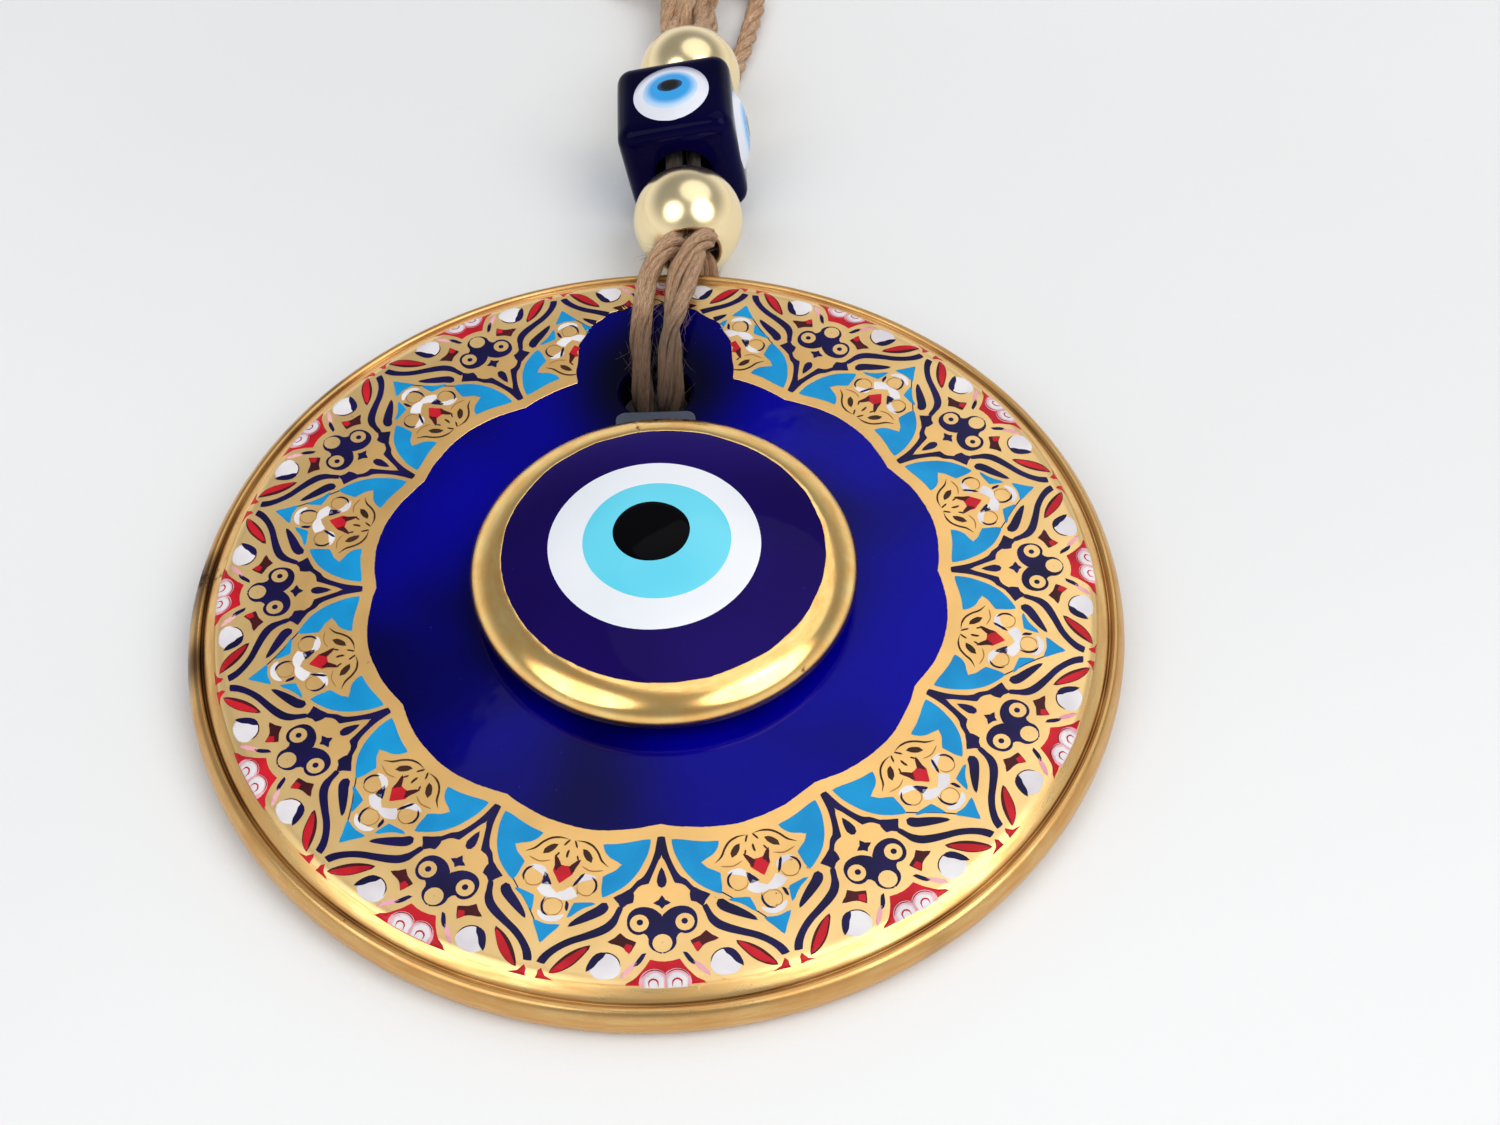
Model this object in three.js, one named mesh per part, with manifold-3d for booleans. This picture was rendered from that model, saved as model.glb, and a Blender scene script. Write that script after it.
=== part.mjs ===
// Evil eye wall ornament: a gilt-edged glass disc with a domed eye bead, hung on doubled jute
// that also carries two gold beads and a glass cube with four eyes.
// Millimetres, +Z up. The origin is the centre of the disc's flat back. The ornament lies on a
// table, and the disc leans a little because its upper edge rests on the two rear strands.
import * as THREE from 'three';
import { RoundedBoxGeometry } from 'three/addons/geometries/RoundedBoxGeometry.js';
import * as BufferGeometryUtils from 'three/addons/utils/BufferGeometryUtils.js';
import Module from 'manifold-3d';

const wasm = await Module();
wasm.setup();

// ---- Driving dimensions ----

const discRadius = 65;
const discThickness = 6;
const faceRadius = 60; // flat part of the face, inside the gilt rim
const backRadius = 62.5; // flat part of the back
const discLean = THREE.MathUtils.degToRad(2.3);
const tableZ = -backRadius * Math.sin(discLean); // the table, below the disc's lower edge
const discSegments = 48;
const fitGap = 0.25; // between pieces that are fused, painted or glued in the real thing

const holeRadius = 5.4;
const holeY = 36.4;

const printInnerRadius = 39.1; // at the inward cusps
const printScallop = 1.4; // how far the inner edge bulges outwards between cusps
const printRepeats = 12;
const printThickness = 0.4;
const keyholeHalfWidth = 12;
const keyholeNeckHalfWidth = 6.5;
const keyholeNeckY = 54.5;
const keyholeTopY = 55.8;

const padWidth = 12;
const padNearY = -18;
const padFarY = 30.7;
const padThickness = 1.6;

const eyeCentreX = 1;
const eyeRadius = 26.8;
const eyeBackZ = discThickness + padThickness + 2 * fitGap;
const eyeEquatorZ = discThickness + 2.6;
const bandTopRadius = 22.1;
const bandTopZ = discThickness + 6.5;
const domeTopZ = discThickness + 9.4;
const bandThickness = 0.5;
const dropDepth = 1.4; // how deep each drop sits in the glass under it
const dropRise = 0.3; // how far each drop stands above it
const eyeDrops = [
  { name: 'eye_white', radius: 14.6, x: -0.25, y: -0.2, color: 0xe9edf4 },
  { name: 'eye_iris', radius: 10.6, x: 0.15, y: -0.15, color: 0x6ecbe8 },
  { name: 'eye_pupil', radius: 5.3, x: -0.6, y: 0.9, color: 0x050507 },
];

const beadRadius = 9.2;
const boreRadius = 5;
const lowerBead = { centre: new THREE.Vector3(5.8, 77.2, 6.95), pitch: 0, yaw: 0 };
const upperBead = { centre: new THREE.Vector3(6.9, 119.5, 7.4), pitch: -12, yaw: -4 };

const cubeSide = 19.7;
const cubeRounding = 2.5;
const cubeCentre = new THREE.Vector3(5.26, 98.8, 8.8);
const cubePitch = 3.3;
const cubeRoll = -9;
const cubeYaw = 1.5;
const cubeEyeDrops = [
  { name: 'white', radius: 6.6, along: -0.3, color: 0xe8ecf6 },
  { name: 'blue', radius: 4.4, along: -0.5, color: 0x2fa0e0 },
  { name: 'black', radius: 2.1, along: 0.2, color: 0x050508 },
];
const cubeDropDepth = 0.9;
const cubeDropRise = 0.27; // the eyes stand out of the sides, each drop above the one under it
const cubeEyeNames = ['top', 'right', 'under', 'left'];

const strandRadius = 1.8;
const wideStrandRadius = 2.2; // the front right strand is slack, so its plies stand apart
const coreRadius = 3.1;
const bundleRadius = 5;
const knotRadius = 6.9;
const knotHalfLength = 9.6;
const knotCentre = new THREE.Vector3(7.7, 160, tableZ + knotRadius + 0.15);

const cobalt = { color: 0x0a0a78, roughness: 0.08, metalness: 0 };
const navy = { color: 0x120a4a, roughness: 0.1, metalness: 0 };
const luster = { color: 0xd9a04c, roughness: 0.3, metalness: 1 };
const beadGold = { color: 0xe6cd92, roughness: 0.22, metalness: 1 };
const jute = { color: 0x9c7d62, roughness: 0.9, metalness: 0 };

// ---- Helpers ----

const point = (x, y, z) => new THREE.Vector3(x, y, z);

function named(name, geometry, finish) {
  const mesh = new THREE.Mesh(geometry, new THREE.MeshStandardMaterial(finish));
  mesh.name = name;
  return mesh;
}

function merged(geometry) {
  const bare = geometry.clone();
  bare.deleteAttribute('normal');
  bare.deleteAttribute('uv');
  return BufferGeometryUtils.mergeVertices(bare, 1e-4);
}

function toSolid(geometry) {
  const closed = merged(geometry);
  return new wasm.Manifold(new wasm.Mesh({
    numProp: 3,
    vertProperties: new Float32Array(closed.attributes.position.array),
    triVerts: new Uint32Array(closed.index.array),
  }));
}

function toGeometry(solid) {
  const mesh = solid.getMesh();
  const geometry = new THREE.BufferGeometry();
  geometry.setAttribute('position', new THREE.BufferAttribute(mesh.vertProperties, 3));
  geometry.setIndex(new THREE.BufferAttribute(mesh.triVerts, 1));
  geometry.computeVertexNormals();
  return geometry;
}

function cut(geometry, ...tools) {
  let solid = toSolid(geometry);
  for (const tool of tools) solid = solid.subtract(toSolid(tool));
  return toGeometry(solid);
}

// A lathe turned about +Z. Profile points are [radius, z], going outwards and then up.
function turned(profile, segments) {
  const points = profile.map(([radius, z]) => new THREE.Vector2(radius, z));
  const geometry = new THREE.LatheGeometry(points, segments);
  geometry.rotateX(Math.PI / 2);
  return geometry;
}

function cylinderZ(radius, low, high, segments) {
  const geometry = new THREE.CylinderGeometry(radius, radius, high - low, segments);
  geometry.rotateX(Math.PI / 2);
  geometry.translate(0, 0, (low + high) / 2);
  return geometry;
}

// A drop of glass: a short plug with a domed top whose edge stands at edgeZ.
function dropGeometry(radius, low, edgeZ, crownZ, segments) {
  const rings = 3;
  const profile = [[0, low], [radius, low], [radius, edgeZ]];
  for (let i = 1; i <= rings; i += 1) {
    const turn = (i / rings) * (Math.PI / 2);
    profile.push([radius * Math.cos(turn), edgeZ + (crownZ - edgeZ) * Math.sin(turn)]);
  }
  profile[profile.length - 1][0] = 0;
  return turned(profile, segments);
}

// A plain round cord through the points. Sections are kept square to the path.
function cordGeometry(points, radius, steps, sides) {
  const section = new THREE.Shape();
  for (let i = 0; i < sides; i += 1) {
    const turn = (i / sides) * 2 * Math.PI;
    const x = radius * Math.cos(turn);
    const y = radius * Math.sin(turn);
    if (i === 0) section.moveTo(x, y);
    else section.lineTo(x, y);
  }
  const path = new THREE.CatmullRomCurve3(points, false, 'centripetal');
  return new THREE.ExtrudeGeometry(section, { steps, extrudePath: path, bevelEnabled: false });
}

// ---- Disc ----

function discGeometry() {
  const profile = [
    [0, 0], [61.6, 0], [63.85, 1.95], [63.6, 3.5], [61.8, 3.9],
    [faceRadius - fitGap, 5.1], [faceRadius - fitGap, discThickness], [0, discThickness],
  ];
  const hole = cylinderZ(holeRadius, -1, discThickness + 1, 28);
  hole.translate(0, holeY, 0);
  return cut(turned(profile, discSegments), hole);
}

// Slope down from the face, a groove, and the rolled lip that goes round to the back.
function gildingGeometry() {
  const outside = [
    [backRadius, 0], [64.8, 1.6], [discRadius, 3], [64.3, 4.2],
    [63.1, 4.75], [62.7, 4.5], [62.2, 4.8], [faceRadius, discThickness],
  ];
  const inside = [[faceRadius, 5.3], [62, 4.2], [63.85, 3.75], [64.15, 1.85], [61.9, 0]];
  const ring = [...outside, ...inside, outside[0]];
  return turned(ring, discSegments);
}

function printGeometry() {
  const ring = new THREE.Shape();
  ring.absarc(0, 0, faceRadius - 0.1, 0, 2 * Math.PI, false);
  const opening = new THREE.Path();
  const samples = 60;
  const keyholeAngle = Math.asin(keyholeHalfWidth / printInnerRadius);
  const start = Math.PI / 2 + keyholeAngle;
  const sweep = 2 * Math.PI - 2 * keyholeAngle;
  for (let i = 0; i <= samples; i += 1) {
    const angle = start + (sweep * i) / samples;
    const bulge = Math.abs(Math.sin((printRepeats / 2) * (angle - Math.PI / 2)));
    const radius = printInnerRadius + printScallop * bulge;
    const x = radius * Math.cos(angle);
    const y = radius * Math.sin(angle);
    if (i === 0) opening.moveTo(x, y);
    else opening.lineTo(x, y);
  }
  const shoulderY = 48;
  opening.lineTo(keyholeHalfWidth, shoulderY);
  opening.quadraticCurveTo(keyholeHalfWidth - 2, keyholeNeckY - 3, keyholeNeckHalfWidth, keyholeNeckY);
  opening.lineTo(0, keyholeTopY);
  opening.lineTo(-keyholeNeckHalfWidth, keyholeNeckY);
  opening.quadraticCurveTo(-keyholeHalfWidth + 2, keyholeNeckY - 3, -keyholeHalfWidth, shoulderY);
  opening.closePath();
  ring.holes.push(opening);
  const geometry = new THREE.ExtrudeGeometry(ring, {
    depth: printThickness, bevelEnabled: false, curveSegments: discSegments / 2,
  });
  geometry.translate(0, 0, discThickness + fitGap);
  return geometry;
}

function padGeometry() {
  const corner = 1.2;
  const half = padWidth / 2;
  const outline = new THREE.Shape();
  outline.moveTo(-half, padNearY);
  outline.lineTo(half, padNearY);
  outline.lineTo(half, padFarY - corner);
  outline.quadraticCurveTo(half, padFarY, half - corner, padFarY);
  outline.lineTo(corner - half, padFarY);
  outline.quadraticCurveTo(-half, padFarY, -half, padFarY - corner);
  outline.closePath();
  const geometry = new THREE.ExtrudeGeometry(outline, {
    depth: padThickness, bevelEnabled: false, curveSegments: 4,
  });
  geometry.translate(0, 0, discThickness + fitGap);
  return geometry;
}

// ---- Domed eye bead ----

// Height of the dome above the face, at a distance from the bead's axis.
function domeZ(radius) {
  const fall = domeTopZ - bandTopZ;
  return domeTopZ - fall * (radius / bandTopRadius) ** 2;
}

function eyeBodyGeometry() {
  const under = bandThickness + fitGap;
  const profile = [
    [0, eyeBackZ],
    [eyeRadius - 2.4, eyeBackZ],
    [eyeRadius - under, eyeEquatorZ + 0.5],
    [eyeRadius - under - 0.9, eyeEquatorZ + 2],
    [bandTopRadius - 0.3, bandTopZ - 0.8],
    [bandTopRadius - 0.3, domeZ(bandTopRadius - 0.3)],
  ];
  for (const radius of [18.5, 15, 8]) profile.push([radius, domeZ(radius)]);
  profile.push([0, domeTopZ]);
  const white = eyeDrops[0];
  const pocket = cylinderZ(white.radius + fitGap, domeZ(white.radius) - dropDepth, domeTopZ + 2, 36);
  pocket.translate(white.x, white.y, 0);
  return cut(turned(profile, discSegments), pocket);
}

function eyeBandGeometry() {
  const ring = [
    [eyeRadius - 2, eyeBackZ],
    [eyeRadius, eyeEquatorZ],
    [eyeRadius - 0.5, eyeEquatorZ + 1.8],
    [eyeRadius - 2, eyeEquatorZ + 3],
    [bandTopRadius, bandTopZ],
    [bandTopRadius, bandTopZ - 0.5],
    [eyeRadius - bandThickness - 1, eyeEquatorZ + 2.1],
    [eyeRadius - bandThickness, eyeEquatorZ + 0.5],
  ];
  return turned([...ring, ring[0]], discSegments);
}

// Each drop sits in a pocket in the drop below it, and stands a little proud of it.
function eyeDropMeshes() {
  return eyeDrops.map((drop, level) => {
    const edgeZ = domeZ(drop.radius) + dropRise * (level + 0.3);
    const crownZ = domeTopZ + dropRise * (level + 1);
    const low = domeZ(drop.radius) - dropDepth + fitGap + dropRise * level;
    let geometry = dropGeometry(drop.radius, low, edgeZ, crownZ, 36);
    const inner = eyeDrops[level + 1];
    if (inner) {
      const floor = domeZ(inner.radius) - dropDepth + dropRise * (level + 1);
      const pocket = cylinderZ(inner.radius + fitGap, floor, crownZ + 2, 36);
      pocket.translate(inner.x - drop.x, inner.y - drop.y, 0);
      geometry = cut(geometry, pocket);
    }
    const mesh = named(drop.name, geometry, { color: drop.color, roughness: 0.1, metalness: 0 });
    mesh.position.set(drop.x, drop.y, 0);
    return mesh;
  });
}

// ---- Strung beads ----

// A large-hole round bead: a ball with a bore along Y.
function roundBeadMesh(name, bead) {
  const halfLength = Math.sqrt(beadRadius ** 2 - boreRadius ** 2);
  const rings = 12;
  const tip = Math.asin(halfLength / beadRadius);
  const profile = [];
  for (let i = 0; i <= rings; i += 1) {
    const turn = -tip + (2 * tip * i) / rings;
    profile.push([beadRadius * Math.cos(turn), beadRadius * Math.sin(turn)]);
  }
  const geometry = turned([...profile, profile[0]], 28);
  geometry.rotateX(-Math.PI / 2);
  const mesh = named(name, geometry, beadGold);
  mesh.rotation.set(THREE.MathUtils.degToRad(bead.pitch), 0, THREE.MathUtils.degToRad(bead.yaw), 'ZXY');
  mesh.position.copy(bead.centre);
  return mesh;
}

// The cube's bore runs along its own Y, and its four eyes are on the other four sides.
function cubeBead() {
  const cube = new THREE.Group();
  const half = cubeSide / 2;
  const eyeSegments = 20;
  const bore = cylinderZ(boreRadius, -half - 1, half + 1, 24);
  bore.rotateX(Math.PI / 2);
  const pockets = [];
  cubeEyeNames.forEach((side, quarter) => {
    const eye = new THREE.Group();
    eye.rotation.y = quarter * (Math.PI / 2);
    cubeEyeDrops.forEach((drop, level) => {
      const low = half - cubeDropDepth + cubeDropRise * level + fitGap / 2;
      const edgeZ = half + cubeDropRise * (level + 0.4);
      const crownZ = half + cubeDropRise * (level + 2);
      let geometry = dropGeometry(drop.radius, low, edgeZ, crownZ, eyeSegments);
      const inner = cubeEyeDrops[level + 1];
      if (inner) {
        const floor = half - cubeDropDepth + cubeDropRise * (level + 1) + 0.02;
        const pocket = cylinderZ(inner.radius + fitGap / 2, floor, crownZ + 1, eyeSegments);
        pocket.translate(0, inner.along - drop.along, 0);
        geometry = cut(geometry, pocket);
      }
      const mesh = named(`cube_eye_${side}_${drop.name}`, geometry, {
        color: drop.color, roughness: 0.12, metalness: 0,
      });
      mesh.position.y = drop.along;
      eye.add(mesh);
    });
    cube.add(eye);
    const outer = cubeEyeDrops[0];
    const pocket = cylinderZ(outer.radius + fitGap / 2, half - cubeDropDepth, half + 1, eyeSegments);
    pocket.translate(0, outer.along, 0);
    pocket.rotateY(quarter * (Math.PI / 2));
    pockets.push(pocket);
  });
  const block = new RoundedBoxGeometry(cubeSide, cubeSide, cubeSide, 2, cubeRounding);
  cube.add(named('cube_bead', cut(block, bore, ...pockets), navy));
  cube.rotation.set(
    THREE.MathUtils.degToRad(cubePitch), THREE.MathUtils.degToRad(cubeRoll),
    THREE.MathUtils.degToRad(cubeYaw), 'ZXY',
  );
  cube.position.copy(cubeCentre);
  return cube;
}

// ---- Jute ----

const lyingZ = tableZ + strandRadius + 0.2;
const foldZ = tableZ + 0.25; // where the strands turn under the disc

const cordRoutes = [
  {
    name: 'front_strand_left', radius: strandRadius, steps: 13, sides: 8,
    points: [
      point(-2, 38, foldZ), point(-2, 38.1, 3), point(-2, 38.2, 6.6), point(-2, 39.9, 10),
      point(-2.1, 43.5, 11), point(-1.7, 50, 11.1), point(-0.9, 57, 11.2),
      point(0.7, 62.5, 11.2), point(2.5, 66, 10), point(3.3, 67.7, 9.1),
    ],
  },
  {
    name: 'front_strand_right', radius: wideStrandRadius, steps: 13, sides: 8,
    points: [
      point(2.3, 37.5, foldZ), point(2.3, 37.6, 3), point(2.3, 37.6, 6.6), point(2.3, 39.5, 10.6),
      point(2.6, 44, 11.5), point(3.3, 50, 11.6), point(4.3, 57, 11.6),
      point(5.8, 62.5, 11.7), point(7.1, 66, 10.6), point(7.8, 67.7, 9.7),
    ],
  },
  {
    name: 'rear_strand_left', radius: strandRadius, steps: 8, sides: 8,
    points: [
      point(-1.8, 40.6, lyingZ), point(-1.3, 45, lyingZ), point(0, 53, lyingZ),
      point(1.5, 60, lyingZ), point(2.5, 64, 0.7), point(3.4, 67.2, 3.9),
    ],
  },
  {
    name: 'rear_strand_right', radius: strandRadius, steps: 8, sides: 8,
    points: [
      point(2.3, 40.8, lyingZ), point(3.1, 45, lyingZ), point(5.4, 53, lyingZ),
      point(7.6, 60, lyingZ), point(8.5, 64, 0.9), point(8.3, 67.2, 4.2),
    ],
  },
  {
    name: 'bead_core_cord', radius: coreRadius, steps: 22, sides: 12,
    points: [
      point(5.75, 69.2, 6.9), point(5.8, 77.2, 6.95), point(5.7, 84.9, 7.1), point(5.4, 90.8, 7.7),
      point(5.26, 98.8, 8.6), point(5.4, 107.4, 9), point(6.1, 112.3, 8.8),
      point(6.9, 119.5, 7.4), point(7.4, 127, 5.85),
    ],
  },
  {
    name: 'neck_bundle', radius: bundleRadius, steps: 6, sides: 12,
    points: [
      point(7.5, 128.8, 5.5), point(7.1, 133.5, 4.2), point(6.9, 139, 3), point(7.3, 150, 2.75),
    ],
  },
  {
    name: 'tail_right', radius: strandRadius, steps: 12, sides: 8,
    points: [
      point(15.3, 162.6, 4), point(18.3, 163.6, 2), point(20.8, 161, 0), point(21, 156.5, lyingZ),
      point(19.6, 149.5, lyingZ), point(18.3, 143, lyingZ), point(16.4, 136, lyingZ),
      point(14.9, 129.5, lyingZ),
    ],
  },
  {
    name: 'tail_left', radius: strandRadius, steps: 9, sides: 8,
    points: [
      point(0, 161.6, 4), point(-3.7, 162.7, 1.6), point(-8, 165.2, lyingZ),
      point(-11.6, 170, lyingZ), point(-13.2, 177, lyingZ), point(-13, 185, lyingZ),
    ],
  },
];

// The hanging loop: two runs that spread from the knot, joined by a half circle.
const loopCentreX = 8;
const loopHalfWidth = 11.4;
const loopBendY = 224;
const loopRoute = [point(5.7, 170.1, 3.9), point(5.2, 175, 1.8), point(4.2, 182, 0)];
loopRoute.push(point(1.2, 194, lyingZ), point(-1.6, 207, lyingZ), point(-3.1, 217, lyingZ));
const loopBendPoints = 6;
for (let i = 0; i <= loopBendPoints; i += 1) {
  const turn = Math.PI - (Math.PI * i) / loopBendPoints;
  loopRoute.push(point(
    loopCentreX + loopHalfWidth * Math.cos(turn), loopBendY + loopHalfWidth * Math.sin(turn), lyingZ,
  ));
}
loopRoute.push(point(19.1, 217, lyingZ), point(17.6, 207, lyingZ), point(14.6, 194, lyingZ));
loopRoute.push(point(11.5, 182, 0), point(10.4, 175, 1.8), point(9.9, 170.1, 3.9));
cordRoutes.push({
  name: 'hanging_loop', radius: strandRadius, steps: 26, sides: 8, points: loopRoute,
});

// The knot: a rounded lump, turned about the cord's direction.
function knotGeometry() {
  const rings = 8;
  const profile = [];
  for (let i = 0; i <= rings; i += 1) {
    const turn = -Math.PI / 2 + (Math.PI * i) / rings;
    profile.push([knotRadius * Math.cos(turn) ** 0.7, knotHalfLength * Math.sin(turn)]);
  }
  profile[0][0] = 0;
  profile[rings][0] = 0;
  const geometry = turned(profile, 14);
  geometry.rotateX(-Math.PI / 2);
  geometry.translate(knotCentre.x, knotCentre.y, knotCentre.z);
  return geometry;
}

// ---- Assembly ----

const disc = new THREE.Group();
disc.rotation.x = discLean;
disc.add(named('glass_disc', discGeometry(), cobalt));
disc.add(named('rim_gilding', gildingGeometry(), luster));
disc.add(named('border_print', printGeometry(), { color: 0xd7ab62, roughness: 0.35, metalness: 0.4 }));
disc.add(named('mounting_pad', padGeometry(), { color: 0x9aa0a8, roughness: 0.3, metalness: 0 }));

const eye = new THREE.Group();
eye.position.x = eyeCentreX;
eye.add(named('eye_body', eyeBodyGeometry(), navy));
eye.add(named('eye_gilt_band', eyeBandGeometry(), luster));
eye.add(...eyeDropMeshes());
disc.add(eye);

const ornament = new THREE.Group();
ornament.add(disc);
ornament.add(roundBeadMesh('lower_gold_bead', lowerBead));
ornament.add(cubeBead());
ornament.add(roundBeadMesh('upper_gold_bead', upperBead));
for (const { name, points, radius, steps, sides } of cordRoutes) {
  ornament.add(named(name, cordGeometry(points, radius, steps, sides), jute));
}
ornament.add(named('top_knot', knotGeometry(), jute));

export default ornament;
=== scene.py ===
import bpy
import bmesh
import math
import random
from mathutils import Matrix, Vector, noise
from mathutils.geometry import delaunay_2d_cdt


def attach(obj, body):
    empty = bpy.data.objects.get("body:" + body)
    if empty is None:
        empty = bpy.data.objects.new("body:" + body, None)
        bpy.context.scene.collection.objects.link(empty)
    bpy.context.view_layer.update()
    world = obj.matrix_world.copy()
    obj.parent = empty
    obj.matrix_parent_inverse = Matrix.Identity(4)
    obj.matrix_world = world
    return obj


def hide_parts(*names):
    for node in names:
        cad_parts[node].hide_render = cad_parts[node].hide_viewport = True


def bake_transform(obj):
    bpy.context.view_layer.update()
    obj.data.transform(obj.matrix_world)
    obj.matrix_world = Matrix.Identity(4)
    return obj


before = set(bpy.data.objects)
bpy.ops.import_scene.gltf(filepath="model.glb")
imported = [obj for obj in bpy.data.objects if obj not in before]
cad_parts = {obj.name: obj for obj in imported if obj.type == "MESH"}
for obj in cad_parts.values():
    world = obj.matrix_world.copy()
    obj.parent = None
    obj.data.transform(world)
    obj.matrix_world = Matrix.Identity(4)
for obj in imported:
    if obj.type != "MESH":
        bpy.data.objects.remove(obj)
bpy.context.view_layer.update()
scene = bpy.context.scene
mm = 0.001

# the disc lies tilted on the cords behind it, so everything glued to it shares this turn
lean = Matrix.Rotation(math.radians(2.3), 4, "X")
tableZ = -62.5 * math.sin(math.radians(2.3))


def report(text):
    print("evil eye ornament:", text)


# camera, lights and table

cameraSettings = {
    "place": (5.923, -159.323, 191.990),  # mm
    "azimuth": -2.478,
    "elevation": 48.987,
    "lens": 42.115,
}

cameraData = bpy.data.cameras.new("ornamentCamera")
cameraData.lens = cameraSettings["lens"]
cameraData.sensor_width = 36
cameraData.clip_start = 0.01
camera = bpy.data.objects.new("ornamentCamera", cameraData)
scene.collection.objects.link(camera)
camera.location = [v * mm for v in cameraSettings["place"]]
camera.rotation_euler = (
    math.radians(90 - cameraSettings["elevation"]), 0, math.radians(cameraSettings["azimuth"]),
)
scene.camera = camera
scene.view_settings.view_transform = "Standard"

lightSettings = [
    # name, place in metres, size, watts, colour
    ("softboxRight", (0.53, -0.34, 0.79), 0.80, 4.7, (1.0, 0.985, 0.96)),
    ("softboxLeft", (-0.50, -0.34, 0.77), 0.72, 2.7, (1.0, 0.99, 0.97)),
    ("overheadBack", (0.25, 0.30, 0.93), 1.00, 2.2, (1.0, 0.985, 0.95)),
]

lightAim = Vector((0, 0.04, 0))

for lightName, place, size, watts, colour in lightSettings:
    lightData = bpy.data.lights.new(lightName, "AREA")
    lightData.shape = "DISK"
    lightData.size = size
    lightData.energy = watts
    lightData.color = colour
    light = bpy.data.objects.new(lightName, lightData)
    light.location = place
    light.rotation_euler = (Vector(place) - lightAim).to_track_quat("Z", "Y").to_euler()
    scene.collection.objects.link(light)

world = bpy.data.worlds.new("paleRoom")
scene.world = world
world.use_nodes = True
world.node_tree.nodes["Background"].inputs["Strength"].default_value = 1.0


# node helpers

def addNode(tree, kind, **settings):
    node = tree.nodes.new(kind)
    for key, value in settings.items():
        setattr(node, key, value)
    return node


def mathNode(tree, operation, first, second=None, clamp=False):
    node = addNode(tree, "ShaderNodeMath", operation=operation, use_clamp=clamp)
    for socket, value in zip(node.inputs, (first, second)):
        if value is None:
            continue
        if isinstance(value, (int, float)):
            socket.default_value = value
        else:
            tree.links.new(value, socket)
    return node.outputs[0]


def mixColour(tree, factor, first, second, blendType="MIX"):
    node = addNode(tree, "ShaderNodeMix", data_type="RGBA", blend_type=blendType)
    for socket, value in ((node.inputs[0], factor), (node.inputs[6], first), (node.inputs[7], second)):
        if isinstance(value, (int, float)):
            socket.default_value = value
        elif isinstance(value, tuple):
            socket.default_value = (*value, 1)
        else:
            tree.links.new(value, socket)
    return node.outputs[2]


def mapRange(tree, value, fromLow, fromHigh, toLow, toHigh, smooth=False):
    node = addNode(tree, "ShaderNodeMapRange")
    node.interpolation_type = "SMOOTHSTEP" if smooth else "LINEAR"
    tree.links.new(value, node.inputs["Value"])
    for key, number in (("From Min", fromLow), ("From Max", fromHigh), ("To Min", toLow), ("To Max", toHigh)):
        node.inputs[key].default_value = number
    return node.outputs["Result"]


def bumpNode(tree, height, distance, strength=1.0):
    node = addNode(tree, "ShaderNodeBump")
    node.inputs["Distance"].default_value = distance
    node.inputs["Strength"].default_value = strength
    tree.links.new(height, node.inputs["Height"])
    return node.outputs["Normal"]


def noiseNode(tree, vector, scale, detail=3.0, roughness=0.5):
    node = addNode(tree, "ShaderNodeTexNoise")
    node.inputs["Scale"].default_value = scale
    node.inputs["Detail"].default_value = detail
    node.inputs["Roughness"].default_value = roughness
    tree.links.new(vector, node.inputs["Vector"])
    return node.outputs["Fac"]


def newGroup(name, inputs, outputs):
    group = bpy.data.node_groups.new(name, "ShaderNodeTree")
    for socketName, kind, value in inputs:
        socket = group.interface.new_socket(socketName, in_out="INPUT", socket_type=kind)
        if value is not None:
            socket.default_value = value
    for socketName, kind in outputs:
        group.interface.new_socket(socketName, in_out="OUTPUT", socket_type=kind)
    return group, group.nodes.new("NodeGroupInput"), group.nodes.new("NodeGroupOutput")


def newMaterial(name, **plain):
    material = bpy.data.materials.new(name)
    material.use_nodes = True
    tree = material.node_tree
    shader = tree.nodes["Principled BSDF"]
    for key, value in plain.items():
        shader.inputs[key].default_value = (*value, 1) if isinstance(value, tuple) else value
    place = addNode(tree, "ShaderNodeTexCoord")
    return material, tree, shader, place


def useGroup(tree, group, place, **values):
    node = addNode(tree, "ShaderNodeGroup")
    node.node_tree = group
    tree.links.new(place.outputs["Object"], node.inputs["Place"])
    for key, value in values.items():
        node.inputs[key].default_value = value
    return node


# the room is bright near the horizon and darker overhead
roomTree = world.node_tree
roomPlace = addNode(roomTree, "ShaderNodeTexCoord")
roomSplit = addNode(roomTree, "ShaderNodeSeparateXYZ")
roomTree.links.new(roomPlace.outputs["Generated"], roomSplit.inputs[0])
roomHeight = mapRange(roomTree, roomSplit.outputs[2], 0.12, 0.62, 0, 1, True)
roomTree.links.new(mixColour(roomTree, roomHeight, (0.90, 0.90, 0.90), (0.31, 0.32, 0.335)),
                   roomTree.nodes["Background"].inputs["Color"])


# shared effects: brushed streaks that run round a ring, worn flecks, slow glass clouds, jute fibre

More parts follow.
